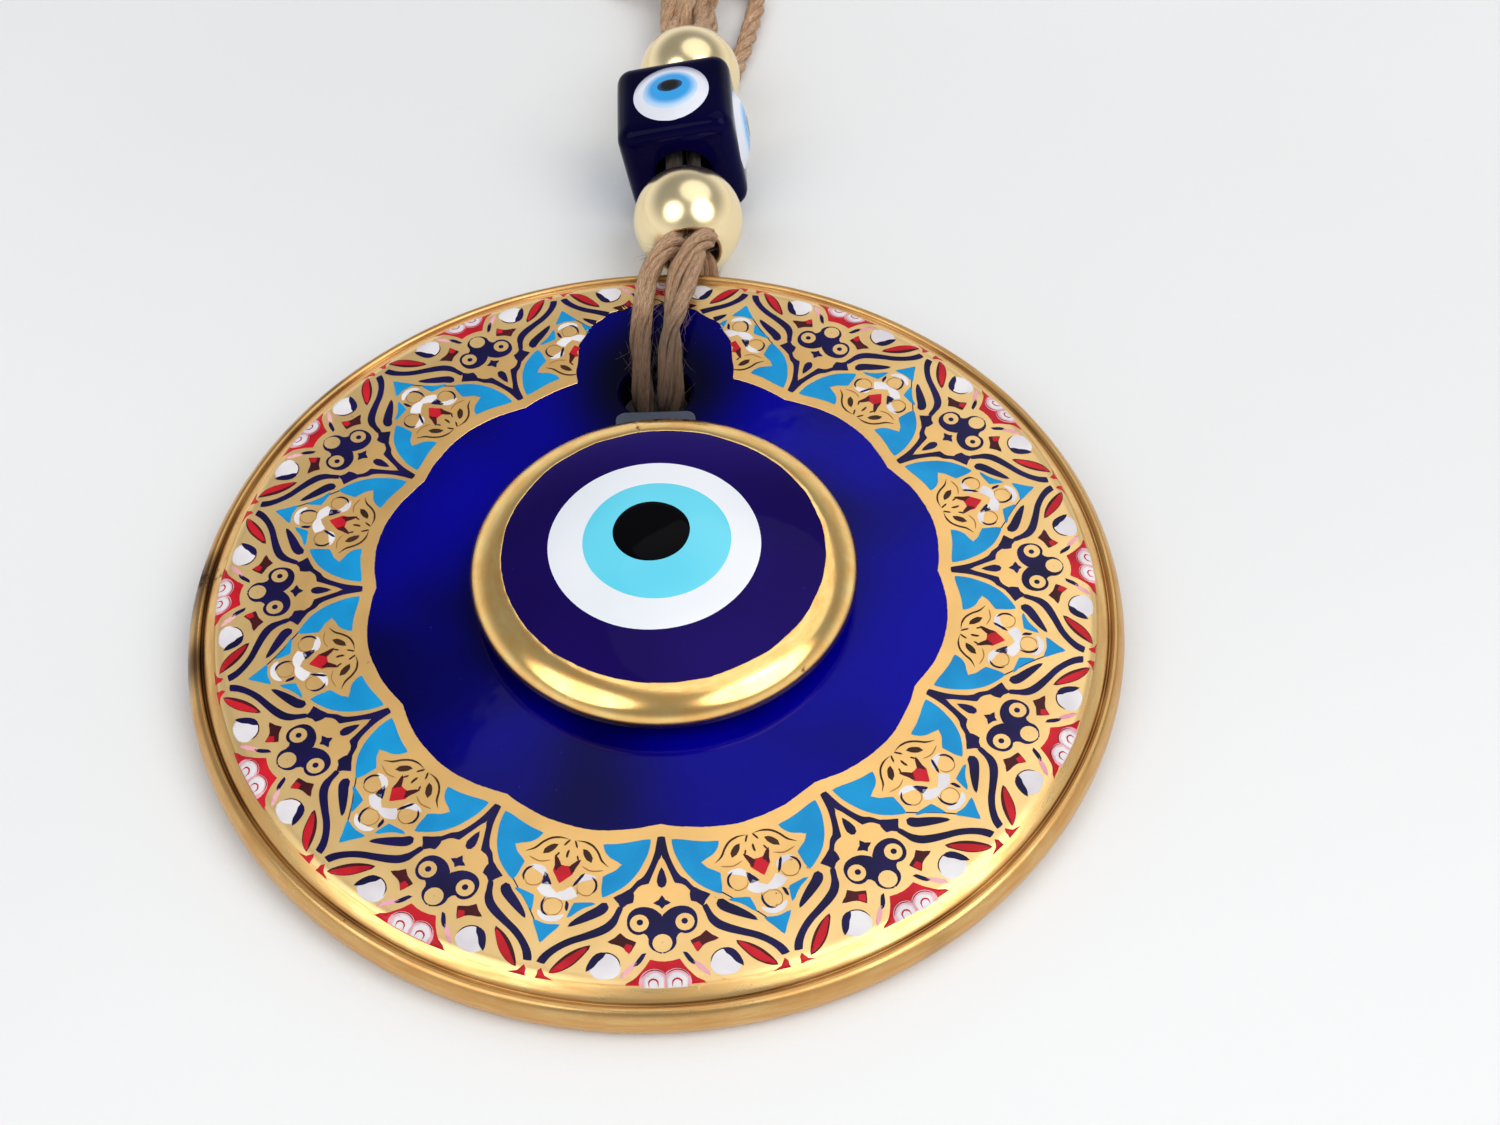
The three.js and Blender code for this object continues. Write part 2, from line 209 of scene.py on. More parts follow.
def makeRingBrush():
    group, start, end = newGroup(
        "ringBrush",
        [("Place", "NodeSocketVector", None), ("Around", "NodeSocketFloat", 3.0),
         ("Across", "NodeSocketFloat", 1500.0)],
        [("Streak", "NodeSocketFloat"), ("Radius", "NodeSocketFloat")],
    )
    split = addNode(group, "ShaderNodeSeparateXYZ")
    group.links.new(start.outputs["Place"], split.inputs[0])
    x, y, z = split.outputs
    radius = mathNode(group, "SQRT", mathNode(
        group, "ADD", mathNode(group, "MULTIPLY", x, x), mathNode(group, "MULTIPLY", y, y)))
    join = addNode(group, "ShaderNodeCombineXYZ")
    around = start.outputs["Around"]
    group.links.new(mathNode(group, "MULTIPLY", mathNode(group, "DIVIDE", x, radius), around), join.inputs[0])
    group.links.new(mathNode(group, "MULTIPLY", mathNode(group, "DIVIDE", y, radius), around), join.inputs[1])
    depth = mathNode(group, "ADD", radius, z)
    group.links.new(mathNode(group, "MULTIPLY", depth, start.outputs["Across"]), join.inputs[2])
    streak = noiseNode(group, join.outputs[0], 1.0, 5.0, 0.6)
    group.links.new(streak, end.inputs["Streak"])
    group.links.new(radius, end.inputs["Radius"])
    return group


def makeWornFlecks():
    group, start, end = newGroup(
        "wornFlecks",
        [("Place", "NodeSocketVector", None), ("Scale", "NodeSocketFloat", 300.0),
         ("Cover", "NodeSocketFloat", 0.64)],
        [("Mask", "NodeSocketFloat"), ("Cloud", "NodeSocketFloat")],
    )
    wide = addNode(group, "ShaderNodeTexNoise")
    wide.inputs["Detail"].default_value = 2
    fine = addNode(group, "ShaderNodeTexNoise")
    fine.inputs["Detail"].default_value = 6
    fine.inputs["Roughness"].default_value = 0.7
    for node in (wide, fine):
        group.links.new(start.outputs["Place"], node.inputs["Vector"])
    group.links.new(start.outputs["Scale"], fine.inputs["Scale"])
    group.links.new(mathNode(group, "MULTIPLY", start.outputs["Scale"], 0.22), wide.inputs["Scale"])
    both = mathNode(group, "ADD", mathNode(group, "MULTIPLY", fine.outputs["Fac"], 0.55),
                    mathNode(group, "MULTIPLY", wide.outputs["Fac"], 0.45))
    over = mathNode(group, "SUBTRACT", both, start.outputs["Cover"])
    group.links.new(mathNode(group, "MULTIPLY", over, 28.0, clamp=True), end.inputs["Mask"])
    group.links.new(wide.outputs["Fac"], end.inputs["Cloud"])
    return group


def makeGlassClouds():
    group, start, end = newGroup(
        "glassClouds",
        [("Place", "NodeSocketVector", None), ("Scale", "NodeSocketFloat", 60.0),
         ("Deep", "NodeSocketColor", (0, 0, 0.02, 1)), ("Bright", "NodeSocketColor", (0, 0, 0.3, 1))],
        [("Colour", "NodeSocketColor"), ("Ripple", "NodeSocketFloat"), ("Speck", "NodeSocketFloat")],
    )
    slow = addNode(group, "ShaderNodeTexNoise")
    slow.inputs["Detail"].default_value = 1.5
    group.links.new(start.outputs["Place"], slow.inputs["Vector"])
    group.links.new(start.outputs["Scale"], slow.inputs["Scale"])
    group.links.new(mixColour(group, mapRange(group, slow.outputs["Fac"], 0.3, 0.7, 0, 1, True),
                              start.outputs["Deep"], start.outputs["Bright"]), end.inputs["Colour"])
    ripple = noiseNode(group, start.outputs["Place"], 140.0, 2.0)
    group.links.new(ripple, end.inputs["Ripple"])
    dust = noiseNode(group, start.outputs["Place"], 2600.0, 1.0)
    group.links.new(mapRange(group, dust, 0.80, 0.84, 0, 1), end.inputs["Speck"])
    return group


def makeJuteFibre():
    group, start, end = newGroup(
        "juteFibre",
        [("Along", "NodeSocketVector", None), ("Place", "NodeSocketVector", None)],
        [("Shade", "NodeSocketFloat"), ("Height", "NodeSocketFloat"), ("Patch", "NodeSocketFloat")],
    )
    stretch = addNode(group, "ShaderNodeMapping")
    stretch.inputs["Scale"].default_value = (0.5, 34.0, 1.0)
    group.links.new(start.outputs["Along"], stretch.inputs["Vector"])
    coarse = noiseNode(group, stretch.outputs[0], 1.0, 4.0, 0.65)
    finer = addNode(group, "ShaderNodeMapping")
    finer.inputs["Scale"].default_value = (1.4, 95.0, 1.0)
    group.links.new(start.outputs["Along"], finer.inputs["Vector"])
    fine = noiseNode(group, finer.outputs[0], 1.0, 3.0, 0.6)
    shade = mathNode(group, "ADD", mathNode(group, "MULTIPLY", coarse, 0.6),
                     mathNode(group, "MULTIPLY", fine, 0.4))
    group.links.new(shade, end.inputs["Shade"])
    group.links.new(shade, end.inputs["Height"])
    patch = noiseNode(group, start.outputs["Place"], 160.0, 3.0)
    group.links.new(patch, end.inputs["Patch"])
    return group


ringBrush = makeRingBrush()
wornFlecks = makeWornFlecks()
glassClouds = makeGlassClouds()
juteFibre = makeJuteFibre()
report("shared effects ready")


# glass

glassSettings = {
    # deep and bright colour, roughness, transmission
    "cobaltGlass": ((0.0006, 0.0002, 0.060), (0.0012, 0.0004, 0.330), 0.05, 0.12),
    "navyGlass": ((0.0075, 0.0026, 0.070), (0.0120, 0.0040, 0.115), 0.045, 0.0),
    "cubeNavyGlass": ((0.0008, 0.0006, 0.012), (0.0022, 0.0014, 0.036), 0.06, 0.0),
    "blackGlass": ((0.0012, 0.0012, 0.0016), (0.0025, 0.0022, 0.0035), 0.05, 0.0),
    "whiteGlass": ((0.74, 0.78, 0.84), (0.86, 0.88, 0.92), 0.08, 0.0),
    "skyGlass": ((0.100, 0.600, 0.800), (0.180, 0.700, 0.860), 0.07, 0.0),
}

paleGlass = ("whiteGlass", "skyGlass")
finishes = {}
for glassName, (deep, bright, roughness, seeThrough) in glassSettings.items():
    material, tree, shader, place = newMaterial(
        glassName, **{"Roughness": roughness, "IOR": 1.5, "Transmission Weight": seeThrough,
                      "Specular IOR Level": 0.2 if glassName in paleGlass else 0.04})
    clouds = useGroup(tree, glassClouds, place, Scale=34.0, Deep=(*deep, 1), Bright=(*bright, 1))
    colour = clouds.outputs["Colour"]
    if glassName == "cobaltGlass":
        # painted shade: the glass round the cord hole is darkened, as little light comes up through it there
        spot = addNode(tree, "ShaderNodeMapping")
        spot.inputs["Location"].default_value = (0, -0.0385, 0)
        tree.links.new(place.outputs["Object"], spot.inputs["Vector"])
        reach = addNode(tree, "ShaderNodeVectorMath", operation="LENGTH")
        tree.links.new(spot.outputs[0], reach.inputs[0])
        holeGlassShade = mapRange(tree, reach.outputs["Value"], 0.0085, 0.0215, 0.97, 0, True)
        colour = mixColour(tree, holeGlassShade, colour, (0.0004, 0.0003, 0.006))
    colour = mixColour(tree, clouds.outputs["Speck"], colour,
                       tuple(min(1, c * 1.6 + 0.02) for c in bright))
    tree.links.new(colour, shader.inputs["Base Color"])
    tree.links.new(bumpNode(tree, clouds.outputs["Ripple"], 0.00005), shader.inputs["Normal"])
    finishes[glassName] = material


def makeFrostedPad():
    material, tree, shader, place = newMaterial(
        "padPlastic", **{"IOR": 1.46, "Transmission Weight": 0.35})
    flecks = useGroup(tree, wornFlecks, place, Scale=420.0, Cover=0.60)
    tree.links.new(mixColour(tree, flecks.outputs["Cloud"], (0.035, 0.045, 0.085), (0.10, 0.12, 0.17)),
                   shader.inputs["Base Color"])
    tree.links.new(mapRange(tree, flecks.outputs["Mask"], 0, 1, 0.28, 0.6), shader.inputs["Roughness"])
    tree.links.new(bumpNode(tree, flecks.outputs["Cloud"], 0.0001), shader.inputs["Normal"])
    return material


# gold

def makeRimLuster():
    material, tree, shader, place = newMaterial("rimLuster", **{"Metallic": 1.0})
    brush = useGroup(tree, ringBrush, place, Around=9.0, Across=2600.0)
    flecks = useGroup(tree, wornFlecks, place, Scale=170.0, Cover=0.615)
    streak = mapRange(tree, brush.outputs["Streak"], 0.3, 0.72, 0, 1)
    colour = mixColour(tree, streak, (0.80, 0.43, 0.14), (1.0, 0.70, 0.30))
    # painted shade: the groove inside the rolled lip is darkened, in patches
    off = mathNode(tree, "ABSOLUTE", mathNode(tree, "SUBTRACT", brush.outputs["Radius"], 0.06272))
    grooveShade = mapRange(tree, off, 0.00012, 0.00042, 1.0, 0, True)
    patchy = mapRange(tree, flecks.outputs["Cloud"], 0.40, 0.62, 0.25, 0.95, True)
    grooveShade = mathNode(tree, "MULTIPLY", grooveShade, patchy)
    colour = mixColour(tree, grooveShade, colour, (0.014, 0.008, 0.006))
    # painted reflection: the rolled lip and just inside the groove are browner, standing in for the dark
    # surroundings the lip reflects
    lipReflectionShade = mapRange(tree, brush.outputs["Radius"], 0.0617, 0.0628, 0.0, 0.42, True)
    colour = mixColour(tree, lipReflectionShade, colour, (0.30, 0.125, 0.035))
    smudge = mapRange(tree, flecks.outputs["Cloud"], 0.58, 0.68, 0.0, 0.8, True)
    outer = mapRange(tree, brush.outputs["Radius"], 0.0618, 0.0630, 0.0, 1.0, True)
    colour = mixColour(tree, mathNode(tree, "MULTIPLY", smudge, outer), colour, (0.05, 0.022, 0.012))
    colour = mixColour(tree, flecks.outputs["Mask"], colour, (0.075, 0.032, 0.016))
    tree.links.new(colour, shader.inputs["Base Color"])
    worn = mathNode(tree, "MULTIPLY", flecks.outputs["Mask"], 0.3)
    tree.links.new(mathNode(tree, "ADD", mapRange(tree, streak, 0, 1, 0.38, 0.22), worn),
                   shader.inputs["Roughness"])
    height = mathNode(tree, "SUBTRACT", mathNode(tree, "MULTIPLY", brush.outputs["Streak"], 0.5),
                      flecks.outputs["Mask"])
    tree.links.new(bumpNode(tree, height, 0.00006, 0.7), shader.inputs["Normal"])
    return material


def makeBandLuster():
    material, tree, shader, place = newMaterial("bandLuster", **{"Metallic": 1.0})
    brush = useGroup(tree, ringBrush, place, Around=5.0, Across=900.0)
    flecks = useGroup(tree, wornFlecks, place, Scale=240.0, Cover=0.63)
    streak = mapRange(tree, brush.outputs["Streak"], 0.3, 0.7, 0, 1)
    colour = mixColour(tree, streak, (0.92, 0.50, 0.15), (1.0, 0.74, 0.30))
    colour = mixColour(tree, flecks.outputs["Mask"], colour, (0.10, 0.040, 0.022))
    tree.links.new(colour, shader.inputs["Base Color"])
    worn = mathNode(tree, "MULTIPLY", flecks.outputs["Mask"], 0.35)
    tree.links.new(mathNode(tree, "ADD", mapRange(tree, streak, 0, 1, 0.20, 0.12), worn),
                   shader.inputs["Roughness"])
    height = mathNode(tree, "SUBTRACT", mathNode(tree, "MULTIPLY", brush.outputs["Streak"], 0.4),
                      flecks.outputs["Mask"])
    tree.links.new(bumpNode(tree, height, 0.00005, 0.6), shader.inputs["Normal"])
    return material


def makePrintGold(pale, deep, rough):
    material, tree, shader, place = newMaterial(
        "printGold", **{"Metallic": 0.82, "Coat Weight": 0.08, "Coat Roughness": 0.08})
    brush = useGroup(tree, ringBrush, place, Around=2.0, Across=260.0)
    flecks = useGroup(tree, wornFlecks, place, Scale=520.0, Cover=0.655)
    outward = mapRange(tree, brush.outputs["Radius"], 0.046, 0.0605, 0, 1, True)
    colour = mixColour(tree, outward, deep, pale)
    colour = mixColour(tree, mapRange(tree, flecks.outputs["Cloud"], 0.35, 0.7, 0.0, 0.35), colour,
                       tuple(0.62 * c for c in deep))
    colour = mixColour(tree, flecks.outputs["Mask"], colour, (0.06, 0.03, 0.02))
    tree.links.new(colour, shader.inputs["Base Color"])
    tree.links.new(mapRange(tree, brush.outputs["Streak"], 0.3, 0.7, rough + 0.05, rough - 0.05),
                   shader.inputs["Roughness"])
    tree.links.new(bumpNode(tree, flecks.outputs["Cloud"], 0.00008, 0.5), shader.inputs["Normal"])
    return material


def makeBeadGold():
    material, tree, shader, place = newMaterial("beadGold", **{"Metallic": 1.0})
    flecks = useGroup(tree, wornFlecks, place, Scale=260.0, Cover=0.70)
    colour = mixColour(tree, mapRange(tree, flecks.outputs["Cloud"], 0.3, 0.7, 0, 1),
                       (0.92, 0.70, 0.36), (0.98, 0.83, 0.52))
    colour = mixColour(tree, flecks.outputs["Mask"], colour, (0.35, 0.21, 0.08))
    tree.links.new(colour, shader.inputs["Base Color"])
    tree.links.new(mapRange(tree, flecks.outputs["Cloud"], 0.3, 0.7, 0.17, 0.24), shader.inputs["Roughness"])
    tree.links.new(bumpNode(tree, flecks.outputs["Cloud"], 0.00025, 0.35), shader.inputs["Normal"])
    return material


# printed enamel colours

enamelSettings = {
    # main colour, darker mottling, roughness
    "printNavy": ((0.0085, 0.0045, 0.070), (0.0040, 0.0025, 0.034), 0.22),
    "printTurquoise": ((0.006, 0.300, 0.640), (0.004, 0.235, 0.540), 0.26),
    "printRed": ((0.620, 0.012, 0.026), (0.400, 0.006, 0.014), 0.26),
    "printMaroon": ((0.075, 0.008, 0.012), (0.036, 0.004, 0.007), 0.26),
    "printWhite": ((0.80, 0.78, 0.80), (0.66, 0.62, 0.66), 0.30),
    "printPink": ((0.86, 0.46, 0.50), (0.72, 0.32, 0.38), 0.30),
    "printBrown": ((0.060, 0.024, 0.010), (0.030, 0.012, 0.006), 0.30),
    "printTan": ((0.420, 0.220, 0.070), (0.300, 0.150, 0.045), 0.35),
}


def makeEnamel(name, main, mottled, roughness):
    material, tree, shader, place = newMaterial(
        name, **{"Coat Weight": 0.06, "Coat Roughness": 0.06, "Specular IOR Level": 0.15})
    flecks = useGroup(tree, wornFlecks, place, Scale=700.0, Cover=0.67)
    colour = mixColour(tree, mapRange(tree, flecks.outputs["Cloud"], 0.35, 0.65, 0, 1), main, mottled)
    colour = mixColour(tree, mathNode(tree, "MULTIPLY", flecks.outputs["Mask"], 0.6), colour,
                       tuple(0.4 * c for c in mottled))
    tree.links.new(colour, shader.inputs["Base Color"])
    tree.links.new(mapRange(tree, flecks.outputs["Cloud"], 0.3, 0.7, roughness - 0.04, roughness + 0.06),
                   shader.inputs["Roughness"])
    tree.links.new(bumpNode(tree, flecks.outputs["Cloud"], 0.00004, 0.5), shader.inputs["Normal"])
    return material


# jute

def makeJute(dark, light):
    material, tree, shader, place = newMaterial(
        "juteTwine", **{"Sheen Weight": 0.15, "Sheen Roughness": 0.5, "Specular IOR Level": 0.25})
    fibre = addNode(tree, "ShaderNodeGroup")
    fibre.node_tree = juteFibre
    tree.links.new(place.outputs["UV"], fibre.inputs["Along"])
    tree.links.new(place.outputs["Object"], fibre.inputs["Place"])
    shade = mapRange(tree, fibre.outputs["Shade"], 0.40, 0.575, 0, 1)
    colour = mixColour(tree, shade, dark, light)
    # painted shade: it is darker where it comes up out of the cord hole and very dark inside and between the
    # bores
    split = addNode(tree, "ShaderNodeSeparateXYZ")
    tree.links.new(place.outputs["Object"], split.inputs[0])
    holeShade = mapRange(tree, split.outputs[1], 0.040, 0.0545, 0.82, 0.0, True)
    colour = mixColour(tree, holeShade, colour, tuple(0.38 * c for c in dark))
    # painted shadow: near black inside the bores and in the gap between the lower bead and the cube
    boreShadeIn = mapRange(tree, split.outputs[1], 0.0800, 0.0845, 0.0, 0.93, True)
    boreShadeOut = mapRange(tree, split.outputs[1], 0.1105, 0.1135, 1.0, 0.0, True)
    colour = mixColour(tree, mathNode(tree, "MULTIPLY", boreShadeIn, boreShadeOut), colour, (0.006, 0.005, 0.010))
    tint = mapRange(tree, fibre.outputs["Patch"], 0.35, 0.7, 0, 0.40)
    colour = mixColour(tree, tint, colour, tuple(0.62 * c for c in light), "MULTIPLY")
    tree.links.new(colour, shader.inputs["Base Color"])
    tree.links.new(mapRange(tree, fibre.outputs["Shade"], 0, 1, 0.92, 0.7), shader.inputs["Roughness"])
    tree.links.new(bumpNode(tree, fibre.outputs["Height"], 0.0006, 1.0), shader.inputs["Normal"])
    return material


finishes["padPlastic"] = makeFrostedPad()
finishes["rimLuster"] = makeRimLuster()
finishes["bandLuster"] = makeBandLuster()
finishes["printGold"] = makePrintGold((1.0, 0.70, 0.31), (0.97, 0.59, 0.21), 0.34)
finishes["beadGold"] = makeBeadGold()
for enamelName, (main, mottled, roughness) in enamelSettings.items():
    finishes[enamelName] = makeEnamel(enamelName, main, mottled, roughness)
finishes["jute"] = makeJute((0.255, 0.125, 0.060), (0.98, 0.64, 0.385))
report("finishes ready")


# mesh helpers (everything below is drawn in millimetres and scaled once)

def smoothLine(points, spacing, closed=False):
    # a soft curve through the points, which stays sharp at a point that ends in "corner"
    corners = [p[-1] == "corner" for p in points]
    spots = [Vector([c for c in p if c != "corner"]) for p in points]
    count = len(spots)
    line = []
    for i in range(count if closed else count - 1):
        j = (i + 1) % count
        first, last = spots[i], spots[j]
        before = first if corners[i] or (not closed and i == 0) else spots[i - 1]
        after = last if corners[j] or (not closed and j == count - 1) else spots[(j + 1) % count]
        steps = max(1, round((last - first).length / spacing))
        for k in range(steps):
            t = k / steps
            line.append(0.5 * (2 * first + (last - before) * t
                               + (2 * before - 5 * first + 4 * last - after) * t * t
                               + (3 * first - before - 3 * last + after) * t ** 3))
    if not closed:
        line.append(spots[-1].copy())
    return line


def makePiece(name, work, material, place=Matrix.Identity(4), smooth=True):
    bmesh.ops.recalc_face_normals(work, faces=work.faces)
    for vert in work.verts:
        vert.co *= mm
    mesh = bpy.data.meshes.new(name)
    work.to_mesh(mesh)
    work.free()
    for polygon in mesh.polygons:
        polygon.use_smooth = smooth and abs(polygon.normal.z) < 0.99999
    for entry in material if isinstance(material, list) else [material]:
        mesh.materials.append(finishes[entry])
    piece = bpy.data.objects.new(name, mesh)
    scene.collection.objects.link(piece)
    piece.matrix_world = place
    return piece


def joinRings(work, rings):
    # faces between rings of points; a ring of one point closes in a fan
    for lower, upper in zip(rings, rings[1:]):
        turns = max(len(lower), len(upper))
        for i in range(turns):
            j = (i + 1) % turns
            if len(lower) == 1:
                work.faces.new((lower[0], upper[i], upper[j]))
            elif len(upper) == 1:
                work.faces.new((lower[i], lower[j], upper[0]))
            else:
                work.faces.new((lower[i], lower[j], upper[j], upper[i]))


def addSkirt(work, depth):
    # a short wall down from every open edge
    openEdges = [edge for edge in work.edges if edge.is_boundary]
    for item in bmesh.ops.extrude_edge_only(work, edges=openEdges)["geom"]:
        if isinstance(item, bmesh.types.BMVert):
            item.co.z -= depth


def latheBmesh(profile, turns, wobble=None):
    # profile points are radius and height, turned about Z
    work = bmesh.new()
    rings = []
    for radius, height in profile:
        if radius < 1e-6:
            rings.append([work.verts.new((0, 0, height))])
            continue
        ring = []
        for i in range(turns):
            angle = 2 * math.pi * i / turns
            dr, dz = wobble(angle, radius, height) if wobble else (0, 0)
            ring.append(work.verts.new((
                (radius + dr) * math.cos(angle), (radius + dr) * math.sin(angle), height + dz)))
        rings.append(ring)
    joinRings(work, rings)
    return work


def cutterMesh(name, profile, placed):
    # a turned shape for cutWith; placed puts a point where the hole goes
    work = latheBmesh(profile, 64)
    bmesh.ops.recalc_face_normals(work, faces=work.faces)
    for vert in work.verts:
        vert.co = placed(vert.co) * mm
    mesh = bpy.data.meshes.new(name)
    work.to_mesh(mesh)
    work.free()
    return mesh


def cutWith(piece, cutter):
    # takes the cutter's shape out of the piece and keeps the result as plain mesh
    tool = bpy.data.objects.new("cutter", cutter)
    scene.collection.objects.link(tool)
    tool.matrix_world = piece.matrix_world
    change = piece.modifiers.new("cut", "BOOLEAN")
    change.operation = "DIFFERENCE"
    change.solver = "EXACT"
    change.object = tool
    bpy.context.view_layer.update()
    result = bpy.data.meshes.new_from_object(piece.evaluated_get(bpy.context.evaluated_depsgraph_get()))
    piece.modifiers.clear()
    old = piece.data
    piece.data = result
    bpy.data.meshes.remove(old)
    bpy.data.objects.remove(tool)
    for polygon in piece.data.polygons:
        polygon.use_smooth = abs(polygon.normal.z) < 0.9999


# glass disc with its cord hole

discSettings = {
    "faceZ": 6.0,
    "backZ": 0.02,
    "faceEdge": 59.5,
    "slope": 0.545,
    "holeRadius": 5.4,
    "holeY": 36.4,
    "holeFlare": 0.7,
    "waviness": 0.07,
}


def faceHeight(radius):
    # flat in the middle, then it rounds over and falls away under the rim gilding
    past = radius - discSettings["faceEdge"]
    bend = 1.2  # how far out the rounding reaches
    if past <= 0:
        return discSettings["faceZ"]
    if past < bend:
        return discSettings["faceZ"] - discSettings["slope"] * past * past / (2 * bend)
    return discSettings["faceZ"] - discSettings["slope"] * (past - bend / 2)


def discWave(angle, radius, height):
    if radius < 55:
        return 0, 0
    size = discSettings["waviness"]
    return (size * noise.noise((2 * math.cos(angle), 2 * math.sin(angle), 3.1)),
            size * noise.noise((3 * math.cos(angle), 3 * math.sin(angle), 8.4)) * (1 if height > 2 else 0))


def holeCutter():
    hole, flare = discSettings["holeRadius"], discSettings["holeFlare"]
    profile = [(0, -3), (hole + 2.2 * flare, -3), (hole + 2.2 * flare, -0.15)]
    for i in range(7):
        turn = math.radians(90 * i / 6)
        profile.append((hole + flare * (1 - math.sin(turn)), flare * (1 - math.cos(turn)) - 0.02))
    for i in range(7):
        turn = math.radians(90 * i / 6)
        profile.append((hole + flare * (1 - math.cos(turn)), 6.02 - flare * (1 - math.sin(turn))))
    profile += [(hole + 2.2 * flare, 6.15), (hole + 2.2 * flare, 9), (0, 9)]
    return cutterMesh("holeCutter", profile, lambda spot: spot + Vector((0, discSettings["holeY"], 0)))


glassProfile = [(0, discSettings["backZ"]), (61.7, discSettings["backZ"]), (62.8, 0.35), (63.5, 1.1),
                (63.8, 2.0), (63.7, 3.0), (63.1, 3.75), (62.4, 4.1), (61.6, faceHeight(61.6) - 0.06)]
glassProfile += [(r, faceHeight(r)) for r in (60.8, 60.4, 60.1, 59.8, 59.5, 0)]
glassDisc = makePiece("cobaltGlassDisc", latheBmesh(glassProfile, 192), "cobaltGlass", lean)
cutWith(glassDisc, holeCutter())
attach(glassDisc, "disc")
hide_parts("glass_disc")

# the slope lies on the glass; then come the groove, the rolled lip and the edge down to the back
rimProfile = [(r, faceHeight(r) + thickness) for r, thickness in
              ((60.5, -0.02), (60.75, 0.07), (61.1, 0.09), (61.5, 0.08), (62.0, 0.07))]
rimProfile += [(62.35, 4.80), (62.52, 4.62), (62.66, 4.40), (62.78, 4.40), (62.90, 4.62), (63.05, 4.84),
               (63.3, 4.98), (63.6, 4.98), (63.95, 4.80), (64.3, 4.46), (64.62, 3.98), (64.86, 3.40),
               (64.98, 2.75), (64.98, 2.15), (64.86, 1.55), (64.6, 0.95), (64.2, 0.45), (63.6, 0.13),
               (62.9, 0.0), (61.9, -0.03), (60.7, -0.02), (60.2, 0.03)]
rim = makePiece("rimGilding", latheBmesh(rimProfile, 256, discWave), "rimLuster", lean)
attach(rim, "disc")
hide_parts("rim_gilding")
report("disc and gilded rim made")


# printed border: a gold ground with enamel shapes, one arch and one petal drawn by halves and repeated

borderSettings = {
    "repeats": 12,
    "innerEdge": 39.1,
    "scallop": 1.4,
    "outerEdge": 61.3,
    "closeRows": 59.2,  # from here out the rows follow the rounded edge closely
    "groundLift": 0.045,
    "columns": 1440,
    "grain": 0.42,  # spacing along outlines
    "spread": 0.17,  # how far the enamel runs out past its drawn outlines
    "rimJitter": 0.55,  # degrees, the outermost shapes never line up exactly
}

# outline of the bare glass round the cord hole: degrees from the top, radius
keyhole = [(0, 55.7), (3.5, 55.4), (6.8, 54.7), (9.0, 53.2), (11.3, 51.9), (12.4, 50.2), (13.3, 49.3),
           (14.2, 48.3), (14.9, 46.2), (15.6, 44.4), (16.4, 43.0), (16.9, 41.2), (17.3, 39.0)]


def keyholeRadius(degrees):
    degrees = abs(degrees)
    if degrees >= keyhole[-1][0]:
        return 0
    for (a, ra), (b, rb) in zip(keyhole, keyhole[1:]):
        if degrees <= b:
            return ra + (rb - ra) * (degrees - a) / (b - a)


def inKeyhole(x, y):
    degrees = math.degrees(math.atan2(x, y))
    tear = 0.25 * noise.noise((x * 1.7, y * 1.7, 5))
    return math.hypot(x, y) < keyholeRadius(degrees) + tear


# the shapes of an arch lie about x = 0 with y as the radius; mirrored ones are drawn by their right half
archShapes = [
    # colour, lift, mirrored, outline
    ("printNavy", 0.085, True, [
        (0, 41.05, "corner"), (0.32, 41.1, "corner"), (0.50, 42.3), (0.75, 43.5), (1.20, 44.8), (1.75, 46.0),
        (2.30, 46.75), (2.90, 47.15), (3.50, 47.9), (4.10, 48.55, "corner"), (3.55, 48.45, "corner"),
        (3.0, 47.75), (2.5, 47.45), (1.7, 47.3, "corner"), (1.45, 46.6), (0.98, 45.4), (0.5, 44.2),
        (0, 43.45, "corner")]),
    ("printNavy", 0.087, True, [
        (3.65, 49.85, "corner"), (4.3, 50.0), (4.95, 50.6, "corner"), (5.15, 49.9), (5.75, 49.2, "corner"),
        (4.8, 48.8), (3.75, 48.15, "corner"), (3.55, 49.0)]),
    ("printNavy", 0.085, False, [
        (0, 45.4, "corner"), (0.3, 46.4), (0.45, 47.2), (0.28, 47.75), (0, 47.9), (-0.28, 47.75),
        (-0.45, 47.2), (-0.3, 46.4)]),
    ("printNavy", 0.085, False, [
        (0, 50.75, "corner"), (0.25, 50.35), (0.9, 50.1, "corner"), (0.3, 49.85), (0, 49.25, "corner"),
        (-0.3, 49.85), (-0.9, 50.1, "corner"), (-0.25, 50.35)]),
    ("printNavy", 0.085, True, [
        (0, 52.05, "corner"), (0.5, 51.55), (1.2, 51.0), (2.2, 50.75), (3.15, 50.9), (3.85, 51.5),
        (4.1, 52.4), (3.95, 53.35), (3.4, 53.95), (2.75, 54.1), (2.2, 53.95, "corner"), (1.75, 54.25),
        (1.5, 54.8), (1.5, 55.5), (1.05, 56.2), (0.15, 56.65, "corner"), (0, 56.6, "corner")]),
    ("printMaroon", 0.085, True, [
        (3.4, 55.3, "corner"), (3.75, 55.85), (4.1, 56.55, "corner"), (4.6, 55.85), (5.3, 55.4),
        (6.5, 55.05, "corner"), (5.75, 54.7), (5.15, 54.1, "corner"), (4.55, 54.75)]),
    ("printRed", 0.1, True, [
        (3.75, 55.7, "corner"), (4.1, 56.45, "corner"), (4.5, 55.85), (4.3, 55.5, "corner")]),
]

